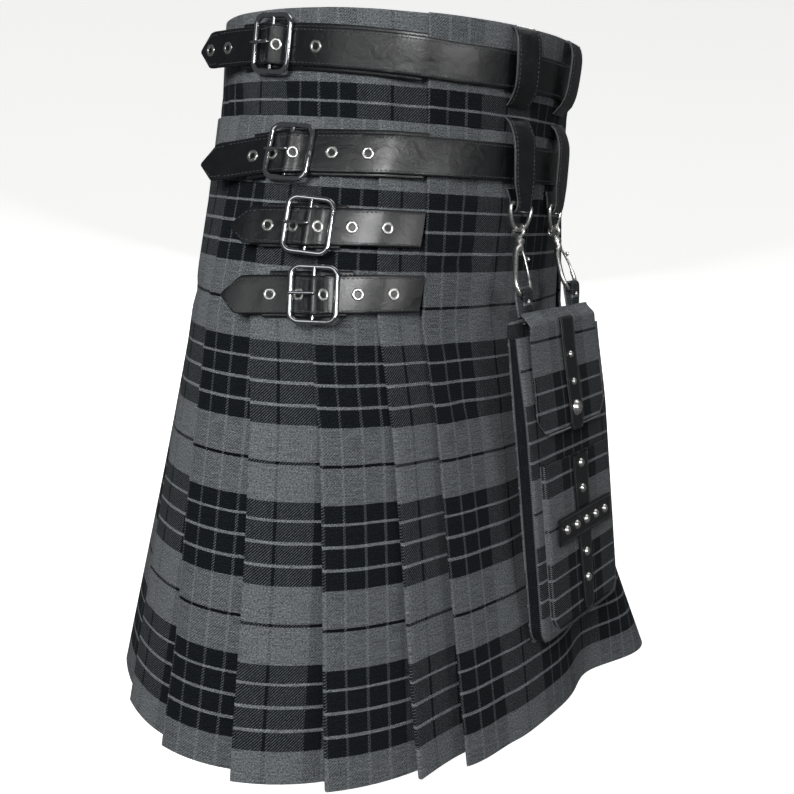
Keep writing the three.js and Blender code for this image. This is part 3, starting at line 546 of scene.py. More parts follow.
tartanCloth = makeTartan(tartan)
gussetShadeCloth = makeTartan(gussetPaintedShade)
blackCowhide = makeLeather(leather)
paleEdgeAndHighlight = makeEdgeAndHighlight()
chrome = makeMetal("chromePlate", "#c6c9cc", 0.07, 0.2, 0.05)
nickel = makeMetal("nickelPlate", "#e6e6e2", 0.26, 0.42, 0.12)
thread = makeThread("waxedThread", "#222427", "#5f6266")
overlockYarn = makeThread("overlockYarn", "#3a3d3f", "#9a9e9f")
holeDark = makeHoleDark()
print("materials made")

# cloth round the body

pleats = {
    "count": 18, "firstShows": 40, "hides": 0.52, "overlap": 25, "lastHides": 10, "lastLevel": 0.72,
    "bow": 0.06, "firstClimb": 1.9, "lastFlat": 0.6, "rows": 84, "faceSteps": 13, "seed": 7,
    "firstThread": 77, "greyThread": 73, "darkThread": -1.5,
    "cut": (2.46, 0.524),
}
pleatStand = {
    "drop": [85, 250, 340, 610], "height": [6.8, 7.4, 11, 20],
    "fold": [1.9, 1.9, 2.3, 3.6], "under": [2.1, 2.2, 3, 5],
}
weftStart = 142.2  # the drop where the skirt's first charcoal band begins
# the top edge turns in under the waistband; the even rows start below it
seamLedge = {"pleats": -5.2, "apron": -4.6, "below": 0.3, "restFrom": 92}
seamDrop = kilt["waistband"] + kilt["gap"]

chance = np.random.default_rng(pleats["seed"])
pleatLift = chance.uniform(0.82, 1.2, pleats["count"])
pleatDrift = chance.uniform(-3.2, 3.2, pleats["count"])
pleatWave = chance.uniform(0, 6.28, (pleats["count"], 2))

# soft troughs (depth above 0) and ridges pressed or pulled into the cloth by wear:
# where each is, how far it runs down and round, and how it leans (degrees per mm)
creases = {
    "angle": [243, 259, 284, 300, 221, 205, 191, 172, 150, 120, 95, 60, 30, 5],
    "drop": [300, 420, 360, 470, 390, 330, 430, 520, 330, 420, 300, 430, 350, 480],
    "reach": [70, 110, 90, 100, 90, 60, 80, 60, 90, 100, 80, 110, 90, 80],
    "spread": [3.2, 4.5, 4, 5.5, 2.4, 2.6, 3, 3.4, 4, 5, 3.5, 5, 4.5, 4],
    "depth": [1.3, 1.8, 1.6, 2.4, 1.0, 0.8, 1.1, 1.5, 1.3, 1.7, 1.2, 1.8, 1.4, 1.6],
    "lean": [0.01, -0.02, 0.015, -0.01, 0.01, -0.01, 0.012, 0.01, -0.01, 0.02, 0.01, -0.015, 0.01, 0.0],
}

# creases pulled across the cloth from the straps, loops and pocket: width and slope in mm, reach in degrees
pulls = {
    "angle": [240, 247, 243, 256, 262, 238, 250, 268, 284, 205, 192, 150, 110, 70, 30, 330],
    "drop": [128, 150, 196, 238, 276, 262, 330, 420, 240, 262, 268, 240, 262, 235, 258, 246],
    "reach": [8, 9, 7, 10, 9, 6, 11, 8, 9, 6, 5, 9, 8, 10, 9, 8],
    "width": [7, 6, 8, 9, 8, 7, 12, 14, 9, 7, 8, 9, 10, 9, 8, 10],
    "depth": [1.8, -1.3, 1.6, 1.5, -1.2, 1.4, 1.3, 1.6, 1.4, 1.2, 1.1, 1.2, 1.3, 1.1, 1.2, 1.3],
    "slope": [1.3, 0.8, -1.2, 1.6, 1.1, 1.8, 2.2, -2.4, -1.2, 1.0, 0.9, -0.8, 1.1, -1.2, 0.9, 1.0],
}
wear = 1.6  # how strongly all creases show


def creaseAt(angle, drop):
    # bell troughs: some long down the cloth and narrow round it, some slanting across it
    total = 0
    for middle, level, reach, width, depth, slope in zip(*pulls.values()):
        away = (angle - middle + 900) % 360 - 180
        down = (drop - level - slope * away) / width
        total = total - depth * np.exp(-((away / reach) ** 2) - down ** 2)
    for middle, level, reach, spread, depth, lean in zip(*creases.values()):
        away = (angle - middle - lean * (drop - level) + 900) % 360 - 180
        total = total - depth * np.exp(-((away / spread) ** 2) - ((drop - level) / reach) ** 2)
    return total * (1 + (wear - 1) * ease((drop - 150) / 60))


def stand(drop, column):
    return float(lookUp(pleatStand, column, drop))


def pleatSection(drop):
    # face up to its fold, round it, back under it, then the next face; threads follow each fold
    back = sweep(drop)[0]
    pitch = (back - pleats["firstShows"]) / (pleats["count"] - 1)
    free = ease((drop - kilt["stitchedDown"]) / (kilt["length"] - kilt["stitchedDown"]))
    line, threads = [], []
    t = np.linspace(0, 1, pleats["faceSteps"])
    for k in range(pleats["count"]):
        last = k == pleats["count"] - 1
        lift = 1 + (pleatLift[k] - 1) * (0.35 + 0.65 * free)
        height = stand(drop, "height") * lift
        if last:  # the last one lies flat against the seam
            height *= 1 - pleats["lastFlat"] * free
        low = -stand(drop, "height") / 2
        fold, under = stand(drop, "fold"), stand(drop, "under")
        wave = math.sin(drop / 95 + pleatWave[k, 0]) * 1.3 + math.sin(drop / 41 + pleatWave[k, 1]) * 0.5
        edge = pleats["firstShows"] + k * pitch + (pleatDrift[k] * free + wave) * ease((drop - 230) / 60)
        hidden = pleats["lastHides"] if last else pitch * pleats["hides"]
        edgeBefore = pleats["firstShows"] + (k - 1) * pitch
        start = -pleats["overlap"] if k == 0 else edgeBefore - pitch * pleats["hides"]
        bow = height * pleats["bow"] * 4 * t * (1 - t)
        climb = t ** pleats["firstClimb"] if k == 0 else t
        face = np.stack([start + (edge - start) * t, low + height * climb + bow], axis=-1)
        turn = np.radians([55, 0, -55])
        bend = np.stack([edge + fold / 2 * np.cos(turn) * 0.8,
                         low + height - fold / 2 + fold / 2 * np.sin(turn)], axis=-1)
        inner = height * pleats["lastLevel"] if last else under
        s = np.linspace(0, 1, 5)
        behind = np.stack([edge - hidden * s, low + height - fold + (inner - height + fold) * s], axis=-1)
        first = pleats["firstThread"] if k == 0 else (pleats["darkThread"] if k % 2 else pleats["greyThread"])
        line += [face, bend, behind]
        threads += [first + (edge - face[:, 0]), first - np.array([0.5, 1, 1.5]), first - 2 - hidden * s]
    return np.vstack(line), np.concatenate(threads)


def hangingDrops(rows):
    # the seam under the waistband, the ledge just below it, and even rows down to the hem
    return np.concatenate([[seamDrop, seamDrop + seamLedge["below"]],
                           np.linspace(seamLedge["restFrom"], kilt["length"], rows)])


def pleatedSkirt():
    drops = hangingDrops(pleats["rows"])
    sections = {drop: pleatSection(drop) for drop in drops}

    def creased(drop):
        line = sections[drop][0].copy()
        line[:, 1] += creaseAt(angleAlong(drop, line[:, 0]), drop)
        if drop == seamDrop:
            line[:, 1] = seamLedge["pleats"]
        return line

    threads = np.array([np.stack([sections[d][1], np.full(len(sections[d][1]), d - weftStart)], axis=-1)
                        for d in drops])
    return hangCloth("pleats", drops, creased, threads, tartanCloth)


apron = {
    "freeOver": 60, "liftAtHip": 2.5, "liftAtHem": 10.5, "tuck": 22, "seamOver": 34, "seamStart": 38,
    "flare": 7, "flareFrom": 45, "flareSpread": 42,
    "firstThread": 13.4, "columns": 150, "rows": 84, "cut": (0.44, 0.526), "area": 0.176,
}
underApron = {
    "meetsOver": 60, "stopsShort": 60, "level": -4.4, "levelShare": 0.62,
    "firstThread": 40, "columns": 70, "rows": 50, "cut": (0.33, 0.526), "area": 0.116,
}


def overApronSection(drop):
    front = sweep(drop)[1]
    below = max(drop, kilt["stitchedDown"])
    lift = np.interp(below, [kilt["stitchedDown"], kilt["length"]], [apron["liftAtHip"], apron["liftAtHem"]])
    low = -stand(drop, "height") / 2 - kilt["cloth"] / 2
    along = np.linspace(-front - apron["tuck"], 0, apron["columns"])
    free = ease(1 + along / apron["freeOver"])
    seam = ease((-along - front + apron["seamStart"]) / apron["seamOver"])
    level = (-kilt["cloth"] / 2 + lift * free) * (1 - seam) + low * seam
    down = ease((drop - kilt["stitchedDown"]) / (kilt["length"] - kilt["stitchedDown"]))
    away = (along + front - apron["flareFrom"]) / apron["flareSpread"]
    flare = apron["flare"] * down * np.exp(-(away ** 2))
    level = level + flare + creaseAt(angleAlong(drop, along), drop)
    if drop == seamDrop:
        level = np.minimum(level, seamLedge["apron"])
    return np.stack([along, level], axis=-1)


def flatThreads(drops, section, first):
    # threads counted along the cloth, and down it from the skirt's first band
    threads = []
    for drop in drops:
        along = section(drop)[:, 0]
        threads.append(np.stack([first - along, np.full(len(along), drop - weftStart)], axis=-1))
    return np.array(threads)


def overApronCloth():
    drops = hangingDrops(apron["rows"])
    threads = flatThreads(drops, overApronSection, apron["firstThread"])
    return hangCloth("frontApron", drops, overApronSection, threads, tartanCloth)


def underApronSection(drop):
    front = sweep(drop)[1]
    low = -stand(drop, "height") / 2
    flat = min(underApron["level"], low * underApron["levelShare"])
    end = -pleats["overlap"] - kilt["gap"] - kilt["cloth"] / 2
    along = np.linspace(-front + underApron["stopsShort"], end, underApron["columns"])
    meets = ease(1 + (along + pleats["overlap"]) / underApron["meetsOver"])
    level = flat * (1 - meets) + low * meets + creaseAt(angleAlong(drop, along), drop)
    return np.stack([along, level], axis=-1)


def underApronCloth():
    drops = np.linspace(seamDrop, kilt["length"], underApron["rows"])
    threads = flatThreads(drops, underApronSection, underApron["firstThread"])
    return hangCloth("underneathApron", drops, underApronSection, threads, tartanCloth)


waistband = {
    "turn": 444, "sinksFrom": 344, "sinksOver": 12, "sinks": 3.2, "columns": 260, "rows": 18,
    "lift": 1.1, "liftOver": 14, "pucker": 1.5, "puckerFrom": 58,
    "firstThread": 13.4, "lastShift": 44, "charcoalFrom": 58, "cut": (1.375, 0.085),
}


def waistbandCloth():
    # a spiral strip: once round from the free edge, then on under its own beginning
    turns = np.linspace(0, waistband["turn"], waistband["columns"])
    drops = np.concatenate([[0, 0.7], np.linspace(3, kilt["waistband"], waistband["rows"])])
    middle = edgeAngle(kilt["waistband"] / 2)
    lengths = lengthsRound(middle + turns, kilt["waistband"] / 2)
    roundOnce = np.interp(360, turns, lengths)
    stretch = 1 + (waistband["lastShift"] - waistband["firstThread"]) / roundOnce
    grids = []
    for side in (1, -1):
        rows = []
        for drop in drops:
            level = -kilt["cloth"] / 2 - waistband["sinks"] * ease(
                (turns - waistband["sinksFrom"]) / waistband["sinksOver"])
            lift = waistband["lift"] * ease(1 - turns / waistband["liftOver"])
            half = kilt["cloth"] / 2 * (0.5 if drop == 0 else 1)
            ripple = 0.5 * np.sin(turns / 7.3 + drop / 60) + 0.35 * np.sin(turns / 3.1 + drop / 25)
            pucker = waistband["pucker"] * np.sin(turns / 2.3 + 1.7 * np.sin(turns / 9)) * ease(
                (drop - waistband["puckerFrom"]) / 20)
            offset = level + lift + ripple * 0.8 + pucker + side * half
            rows.append(onForm(edgeAngle(drop) + turns, drop, offset))
        grids.append(np.array(rows))
    faces, points = closedWall(*grids)
    u = waistband["firstThread"] + lengths * stretch
    weave = np.stack(np.broadcast_arrays(u[None, :], (drops - waistband["charcoalFrom"])[:, None]), axis=-1)
    uv = np.concatenate([weave.reshape(-1, 2)] * 2) * mm
    print("waistband area", round(areaOf(grids[0]), 4))
    return addMesh("waistStrip", points, faces, tartanCloth, uv, sharp=60)


waist = place(waistbandCloth(), "tartan_cloth", "waistband")
skirt = place(pleatedSkirt(), "tartan_cloth", "pleated_skirt")
front = place(overApronCloth(), "tartan_cloth", "over_apron")
under = place(underApronCloth(), "tartan_cloth", "under_apron")
print("cloth round the body made")

# leather straps with their buckles

straps = {
    "leather": 2.4, "base": 2.2, "gap": 0.3, "baseBehind": 13, "baseAhead": 9,
    "baseExtra": 6, "baseShort": 0.8, "archClear": 0.9, "archSpread": 6.6, "cradleClear": 0.4,
    "cradleSpread": 3.5, "stitchInset": 2.7, "stitchPitch": 3.7, "stitch": (2.6, 0.42),
    "tipFrom": 1.7, "tipTo": 6.5, "tipAcross": 0.78,
}
tipShape = {"back": [0, 13, 17], "share": [0.08, 0.96, 1]}
strapTable = [
    {"toEdge": True, "width": 31, "buckle": (178.5, 28.5, 0, 3.1),
     "angle": [150.5, 160.5, 172, 205, 223, 232, 316], "drop": [32, 30, 29, 32.5, 34.7, 36, 35],
     "offset": [25, 12, 4.4, 4.4, 4.5, 2.4, 2.4], "eyelets": [154.3, 160.6, 180.5, 192.6]},
    {"toEdge": True, "width": 32, "buckle": (190, 115.5, 0, 3.2),
     "angle": [163, 172.3, 183, 195, 217, 231, 250, 311],
     "drop": [130, 124, 118, 115, 112.5, 112, 111.5, 111.5],
     "offset": [27, 14, 8.5, 8.3, 8.1, 5, 3, 3], "eyelets": [178.4, 184.6, 191.6, 201.8, 211.3]},
    {"toEdge": False, "width": 30, "buckle": (199.3, 173, 2, 3.3),
     "angle": [177.5, 185, 191, 207, 219, 229.2], "drop": [178, 176, 175, 173, 172, 172],
     "offset": [18, 11.5, 8.5, 8.3, 7.4, 3.9], "eyelets": [187.8, 195, 201.9, 210.5, 219.6]},
    {"toEdge": False, "width": 31, "buckle": (203.9, 227, 8, 4.2),
     "angle": [180, 188, 194, 207, 221, 231.5], "drop": [233, 231, 229.5, 227, 225, 225],
     "offset": [22, 12.5, 8.7, 8.4, 7.6, 4.1], "eyelets": [192.2, 200, 206.4, 214.9, 223.9]},
]
wireSize = {"frame": 2.3, "bar": 1.8, "prong": 1.3}
buckleSize = {"width": 42, "height": 49, "corner": 7.5, "steps": 7}

# across a strip: where each line of points lies and how thick the leather is there
stripAcross = np.array([-1, -0.975, -0.93, -0.84, -0.5, 0, 0.5, 0.84, 0.93, 0.975, 1])
stripThick = np.array([0.3, 0.74, 0.95, 1, 1.04, 1.06, 1.04, 1, 0.95, 0.74, 0.3])


def barArch(strap):
    return strap["buckle"][3] + wireSize["bar"] + straps["leather"] / 2 + straps["archClear"]


def strapSurface(strap, angles, across, width, thickness, rise, pointed, side):
    # leather along the strap's table: across is -1 to 1, side is 1 for its face and -1 for its back
    buckleAngle, buckleDrop, lean, _ = strap["buckle"]
    fine = np.linspace(140, 330, 761)
    lengths = lengthsRound(fine, buckleDrop)
    ahead = np.interp(angles, fine, lengths) - np.interp(buckleAngle, fine, lengths)
    drop = np.interp(angles, strap["angle"], strap["drop"])
    offset = np.interp(angles, strap["angle"], strap["offset"])
    middle = onForm(angles, drop, offset)
    tip = onForm(strap["angle"][0], strap["drop"][0], strap["offset"][0])
    share = 1.0
    if pointed:
        share = np.interp(np.linalg.norm(middle - tip, axis=1), tipShape["back"], tipShape["share"])
    away = ahead[:, None] - across[None, :] * width * math.tan(math.radians(lean)) / 2
    thick = np.interp(across, stripAcross, stripThick)[None, :] * thickness / 2
    level = offset[:, None] + rise(away) + side * thick
    wide = drop[:, None] + across[None, :] * np.reshape(share, (-1, 1)) * width / 2
    return onForm(angles[:, None], wide, level)


def strapAngles(start, end, buckleAngle, tip=None):
    # finer steps near the buckle and at the tip
    near = np.linspace(buckleAngle - 7.5, buckleAngle + 7.5, 46)
    far = np.linspace(start, end, int((end - start) / 1.4))
    far = far[np.abs(far - buckleAngle) > 7.7]
    extra = [] if tip is None else np.linspace(tip, tip + straps["tipTo"], 14)
    angles = np.unique(np.concatenate([far, near, extra, [start, end]]))
    return angles[(angles >= start) & (angles <= end)]


def stitchShape(length, radius, sides=6):
    # a short thread, thin at both ends where it enters the leather
    x = np.array([-0.5, -0.36, 0, 0.36, 0.5]) * length
    path = np.stack([x, 0 * x, np.array([-0.9, 0.0, 0.25, 0.0, -0.9]) * radius], axis=-1)
    return wire(path, np.array([0.35, 0.9, 1, 0.9, 0.35]) * radius, (0, 0, 1), sides)


def sewAlong(line, normals, pitch, size, slant=0):
    # stitches at even steps along a line, in the surface that the normals give, turned by slant degrees
    at, run = resample(line, pitch)
    places = np.stack([np.interp(at, run, line[:, k]) for k in range(3)], axis=-1)
    out = np.stack([np.interp(at, run, normals[:, k]) for k in range(3)], axis=-1)
    out = out / np.linalg.norm(out, axis=1, keepdims=True)
    tangent = np.stack([np.interp(at + 0.6, run, line[:, k]) - np.interp(at - 0.6, run, line[:, k])
                        for k in range(3)], axis=-1)
    tangent = tangent / np.linalg.norm(tangent, axis=1, keepdims=True)
    side = np.cross(out, tangent)
    side = side / np.linalg.norm(side, axis=1, keepdims=True)
    c, s = math.cos(math.radians(slant)), math.sin(math.radians(slant))
    bases = np.stack([tangent * c + side * s, side * c - tangent * s, out], axis=1)
    return repeated(stitchShape(*size), places, bases)


def surfaceNormals(angles, across, make):
    # the normal of a strap's face along one line, from two neighbours on it
    line = make(angles, np.array([across]))[:, 0]
    beyond = make(angles, np.array([across * 0.9 - 0.02]))[:, 0]
    tangent = np.gradient(line, axis=0)
    normal = np.cross(tangent, beyond - line)
    flip = np.sign((normal * line * [1, 1, 0]).sum(axis=1, keepdims=True))
    normal = normal * flip
    return line, normal / np.linalg.norm(normal, axis=1, keepdims=True)


def strapPieces(strap, number):
    arch = barArch(strap)

    def overBar(away):
        # a bell curve that lifts the strap over the buckle's centre bar
        return arch * np.exp(-((away / straps["archSpread"]) ** 2))

    baseUnder = -(straps["leather"] + straps["base"]) / 2 - straps["gap"]
    rise = strap["buckle"][3] - wireSize["bar"] - straps["cradleClear"] - baseUnder - straps["base"] / 2

    def cradle(away):
        return baseUnder + rise * np.exp(-((away / straps["cradleSpread"]) ** 2))

    buckleAngle, buckleDrop = strap["buckle"][:2]
    edge = edgeAngle(buckleDrop)
    baseEnd = edge - straps["baseShort"] if strap["toEdge"] else buckleAngle + straps["baseAhead"]
    layers = [
        ("strap", strap["angle"][0], strap["angle"][-1], strap["width"], straps["leather"], overBar, True),
        ("chape", buckleAngle - straps["baseBehind"], baseEnd, strap["width"] + straps["baseExtra"],
         straps["base"], cradle, False),
    ]
    for kind, start, end, width, thickness, level, pointed in layers:
        angles = strapAngles(start, end, buckleAngle, strap["angle"][0] if pointed else None)

        def face(at, across, side=1):
            return strapSurface(strap, at, across, width, thickness, level, pointed, side)

        faces, points = closedWall(face(angles, stripAcross), face(angles, stripAcross, -1))
        piece = addMesh(f"{kind}{number}", points, faces, blackCowhide, sharp=50)
        node = f"strap_{number}" if kind == "strap" else f"base_strap_{number}"
        place(piece, "leather", node)
        rows = []
        inset = 1 - 2 * straps["stitchInset"] / width
        sewn = angles if not pointed else angles[angles > strap["angle"][0] + straps["tipTo"]]
        for across in (-inset, inset):
            line, normal = surfaceNormals(sewn, across, face)
            rows.append(sewAlong(line, normal, straps["stitchPitch"], straps["stitch"]))
        if pointed:  # two slanting rows round the point
            tipAngles = np.linspace(strap["angle"][0] + straps["tipFrom"],
                                    strap["angle"][0] + straps["tipTo"], 12)
            for across in (-straps["tipAcross"], straps["tipAcross"]):
                line, normal = surfaceNormals(tipAngles, across, face)
                rows.append(sewAlong(line, normal, straps["stitchPitch"], straps["stitch"]))
        points, faces = merged(*rows)
        place(addMesh(f"{kind}Stitches{number}", points, asFaces(faces), thread), "leather")
        if kind == "strap":
            eyeletRow(strap, number, face)


eyelet = {"radius": 5.3, "hole": 2.5, "height": 0.9, "crimps": 6}


def eyeletShape():
    # a rolled flange round the hole, slightly scalloped where it was crimped
    r, h, hole = eyelet["radius"], eyelet["height"], eyelet["hole"]
    turn = np.radians([0, 25, 55, 90, 125, 155, 180])
    middle = (r + hole) / 2
    roll = np.stack([middle + (r - hole) / 2 * np.cos(turn), h * np.sin(turn)], axis=-1)
    profile = np.vstack([[[0, -1.2]], [[r, -1.2]], roll, [[hole * 0.98, -1.0]], [[0, -1.0]]])
    points, faces = lathe(profile, 24)
    turnAt = np.arctan2(points[:, 1], points[:, 0])
    reach = np.hypot(points[:, 0], points[:, 1])
    scallop = 1 + 0.035 * np.cos(turnAt * eyelet["crimps"]) * (reach > middle)
    points[:, :2] *= scallop[:, None]
    return points, faces


def eyeletRow(strap, number, face):
    # a ring on the strap's face at each hole, and the dark of the hole inside it
    rings, holes = [], []
    disc = lathe([[0, -0.9], [eyelet["hole"] * 1.05, -0.9], [eyelet["hole"] * 1.05, -0.12], [0, -0.1]], 20)
    for angle in strap["eyelets"]:
        near = np.array([angle - 0.6, angle, angle + 0.6])
        middle = face(near, np.array([0.0]))[:, 0]
        beyond = face(near, np.array([0.3]))[:, 0]
        tangent = middle[2] - middle[0]
        tangent = tangent / np.linalg.norm(tangent)
        out = np.cross(beyond[1] - middle[1], tangent)
        out = out / np.linalg.norm(out)
        if out @ (middle[1] * [1, 1, 0]) < 0:
            out = -out
        basis = np.stack([tangent, np.cross(out, tangent), out])
        rings.append(repeated(eyeletShape(), middle[1:2], basis[None]))
        holes.append(repeated(disc, middle[1:2], basis[None]))
    points, faces = merged(*rings)
    place(addMesh(f"eyelets{number}", points, asFaces(faces), nickel), "chrome_metal")
    points, faces = merged(*holes)
    place(addMesh(f"eyeletHoles{number}", points, asFaces(faces), holeDark), "leather")


def roundedLine(width, height, corner, steps):
    # a rectangle's outline with round corners, anticlockwise
    outline = []
    for quarter, (sx, sy) in enumerate([(1, 1), (-1, 1), (-1, -1), (1, -1)]):
        turn = np.radians(np.linspace(quarter * 90, quarter * 90 + 90, steps))
        outline.append(np.stack([sx * (width / 2 - corner) + corner * np.cos(turn),
                                 sy * (height / 2 - corner) + corner * np.sin(turn)], axis=-1))
    return np.vstack(outline)


def onFormMatrix(angle, drop, offset, lean=0.0):
    # x runs towards the back, y up the cloth and z out, as the hardware stands on the kilt
    out = onForm(angle, drop, 1) - onForm(angle, drop, 0)
    out = out / np.linalg.norm(out)
    rise = onForm(angle, drop - 5, 0) - onForm(angle, drop + 5, 0)
    rise = rise / np.linalg.norm(rise)
    along = np.cross(rise, out)
    along = along / np.linalg.norm(along)
    outwardAxis = np.cross(along, rise)
    outwardAxis = outwardAxis / np.linalg.norm(outwardAxis)
    c, s = math.cos(math.radians(lean)), math.sin(math.radians(lean))
    matrix = np.eye(4)
    matrix[:3, 0] = along * c + rise * s
    matrix[:3, 1] = rise * c - along * s
    matrix[:3, 2] = outwardAxis
    matrix[:3, 3] = onForm(angle, drop, offset)
    return matrix


def bucklePieces(strap, number):
    angle, drop, lean, height = strap["buckle"]
    level = np.interp(angle, strap["angle"], strap["offset"]) + height
    matrix = onFormMatrix(angle, drop, level, lean)
    reach = buckleSize["width"] / 2 - wireSize["frame"]
    half = buckleSize["height"] / 2 - wireSize["frame"]
    outline = roundedLine(2 * reach, 2 * half, buckleSize["corner"], buckleSize["steps"])
    outline = np.column_stack([outline, np.zeros(len(outline))])
    rim = wire(outline, wireSize["frame"], (0, 0, 1), 16, closed=True, flat=0.92)
    bar = wire([[0, -half, 0], [0, 0, 0], [0, half, 0]], wireSize["bar"], (0, 0, 1), 14)
    points, faces = moved(merged(rim, bar), matrix)
    place(addMesh(f"buckleFrame{number}", points, asFaces(faces), chrome), "chrome_metal", f"buckle_{number}")

    over = barArch(strap) - height + straps["leather"] / 2 + straps["gap"]
    rest = wireSize["frame"] + wireSize["prong"] + straps["gap"]
    knots = np.array([[1.6, over + 0.5], [0.2, over + wireSize["prong"] + 0.6], [-3.4, over + 1.4],
                      [-7, over + 0.7], [-reach + 4, rest + 0.5], [-reach - wireSize["frame"], rest + 0.1]])
    at = np.linspace(0, len(knots) - 1, 34)
    line = np.stack([smooth(at, knots[:, k]) for k in range(2)], axis=-1)
    path = np.stack([line[:, 0], 0 * at, line[:, 1]], axis=-1)
    taper = np.interp(at, [0, 1, 4, 4.8, 5], [0.75, 1, 1, 0.86, 0.45]) * wireSize["prong"]
    points, faces = moved(wire(path, taper, (0, 1, 0), 12), matrix)
    place(addMesh(f"buckleProng{number}", points, asFaces(faces), chrome), "chrome_metal", f"prong_{number}")


def smooth(at, values):
    # Catmull-Rom through evenly numbered knots
    values = np.asarray(values, float)
    padded = np.concatenate([[2 * values[0] - values[1]], values, [2 * values[-1] - values[-2]]])
    i = np.clip(np.floor(at).astype(int), 0, len(values) - 2)
    t = at - i
    p0, p1, p2, p3 = padded[i], padded[i + 1], padded[i + 2], padded[i + 3]
    return 0.5 * (2 * p1 + (p2 - p0) * t + (2 * p0 - 5 * p1 + 4 * p2 - p3) * t ** 2
                  + (3 * p1 - p0 - 3 * p2 + p3) * t ** 3)


for index, each in enumerate(strapTable):
    strapPieces(each, index + 1)
    bucklePieces(each, index + 1)
print("straps and buckles made")

# belt loops, D-rings and snap hooks

loops = {
    "leather": 2.2, "places": [(251, 0.05), (277, 0.0)], "ringDrop": 147.2, "ringOffset": 8.7,
    "upper": [[1.5, 1.6], [4, 6.5], [12, 10], [24, 11.4], [44, 11.4], [54, 9], [60, 5], [64, 1.6]],
    "lower": [[74, 1.6], [78, 6.5], [86, 11], [98, 13.2], [128, 13.2], [144, 13], [151, 11.6],
              [153.6, 8.5], [151, 5.5], [146, 4.4], [140, 3.8], [134, 2.4]],
    "widths": {"drop": [0, 128, 144, 170], "width": [27.5, 27.5, 20, 20]},
    "stitchInset": 3.0,
}
ring = {"width": 31, "depth": 22, "wire": 2.0, "corner": 3.0}
hook = {"eye": 5.4, "eyeWire": 1.8, "wire": 2.2, "gripUp": 5.6, "gripIn": 1.0}


def loopPieces(name, node, angle, knots, drift):
    knots = np.array(knots, float)
    at = np.linspace(0, len(knots) - 1, (len(knots) - 1) * 6 + 1)
    line = np.stack([smooth(at, knots[:, 0]), smooth(at, knots[:, 1])], axis=-1)
    start = knots[0, 0]

    def face(across, side, lift=0.0):
        thick = np.interp(across, stripAcross, stripThick) * loops["leather"] / 2
        grid = []
        for e, t in zip(across, thick):
            shifted = beside(line, side * t + lift)
            drops = shifted[:, 0]
            centre = angle + drift * (line[:, 0] - start)
            oneDegree = onForm(centre + 1, line[:, 0], 0) - onForm(centre, line[:, 0], 0)
            perDegree = np.linalg.norm(oneDegree, axis=1)
            width = lookUp(loops["widths"], "width", line[:, 0])
            grid.append(onForm(centre + e * width / 2 / perDegree, drops, shifted[:, 1]))
        return np.array(grid)

    faces, points = closedWall(face(stripAcross, 1), face(stripAcross, -1))
    strip = len(line) - 1
    faceRows = len(stripAcross) - 1
    edgeBand = np.zeros(len(faces), np.int32)
    for row in (0, faceRows - 1):  # the outermost lines of each side, and the rim, are cut leather
        edgeBand[row * strip:(row + 1) * strip] = 1
        edgeBand[(faceRows + row) * strip:(faceRows + row + 1) * strip] = 1
    edgeBand[2 * faceRows * strip:] = 1
    # the cut edges and the rim get the paler edge material: partly the hide's raw core, partly a painted
    # highlight
    piece = addMesh(name, points, faces, [blackCowhide, paleEdgeAndHighlight], sharp=50, slots=edgeBand)
    place(piece, "leather", node)
    rows = []
    for across in (-1, 1):
        inset = across * (1 - 2 * loops["stitchInset"] / loops["widths"]["width"][0])
        sewn = face(np.array([inset]), 1)[0]
        inner = face(np.array([inset]), 1, 0.8)[0]
        rows.append(sewAlong(sewn, inner - sewn + 1e-6, straps["stitchPitch"], straps["stitch"]))
    points, faces = merged(*rows)
    place(addMesh(name + "Stitches", points, asFaces(faces), thread), "leather")


def ringLine():
    # a flat top with round corners and a half ellipse below
    half, corner = ring["width"] / 2, ring["corner"]
    top = np.stack([np.linspace(-half + corner, half - corner, 9), np.zeros(9)], axis=-1)
    turn = np.radians(np.linspace(90, 10, 5))
    right = np.stack([half - corner + corner * np.cos(turn), -corner + corner * np.sin(turn)], axis=-1)
    sweepTurn = np.radians(np.linspace(0, 180, 25)[1:-1])
    bowl = np.stack([half * np.cos(sweepTurn),
                     -corner - (ring["depth"] - corner) * np.sin(sweepTurn)], axis=-1)
    left = right[::-1] * [-1, 1]
    return np.vstack([top, right, bowl, left])


# the pocket's own directions: across to the wearer's right, down, and out
pocketPlace = {"x": -19, "y": -193, "z": -243, "yaw": -4, "tilt": 10, "roll": -1.5}


def pocketMatrixOf(at):
    turn = (Matrix.Rotation(math.radians(at["yaw"]), 4, "Z")
            @ Matrix.Rotation(math.radians(-at["tilt"]), 4, "X")
            @ Matrix.Rotation(math.radians(at["roll"]), 4, "Y"))
    basis = Matrix(((-1, 0, 0, 0), (0, 0, -1, 0), (0, -1, 0, 0), (0, 0, 0, 1)))
    return np.array(Matrix.Translation((at["x"], at["y"], at["z"])) @ turn @ basis)


pocketMatrix = pocketMatrixOf(pocketPlace)
tabs = {"away": 45, "width": 13, "above": 27, "below": 24, "wall": 1.8, "rivet": 2.3, "cut": (0.013, 0.092)}


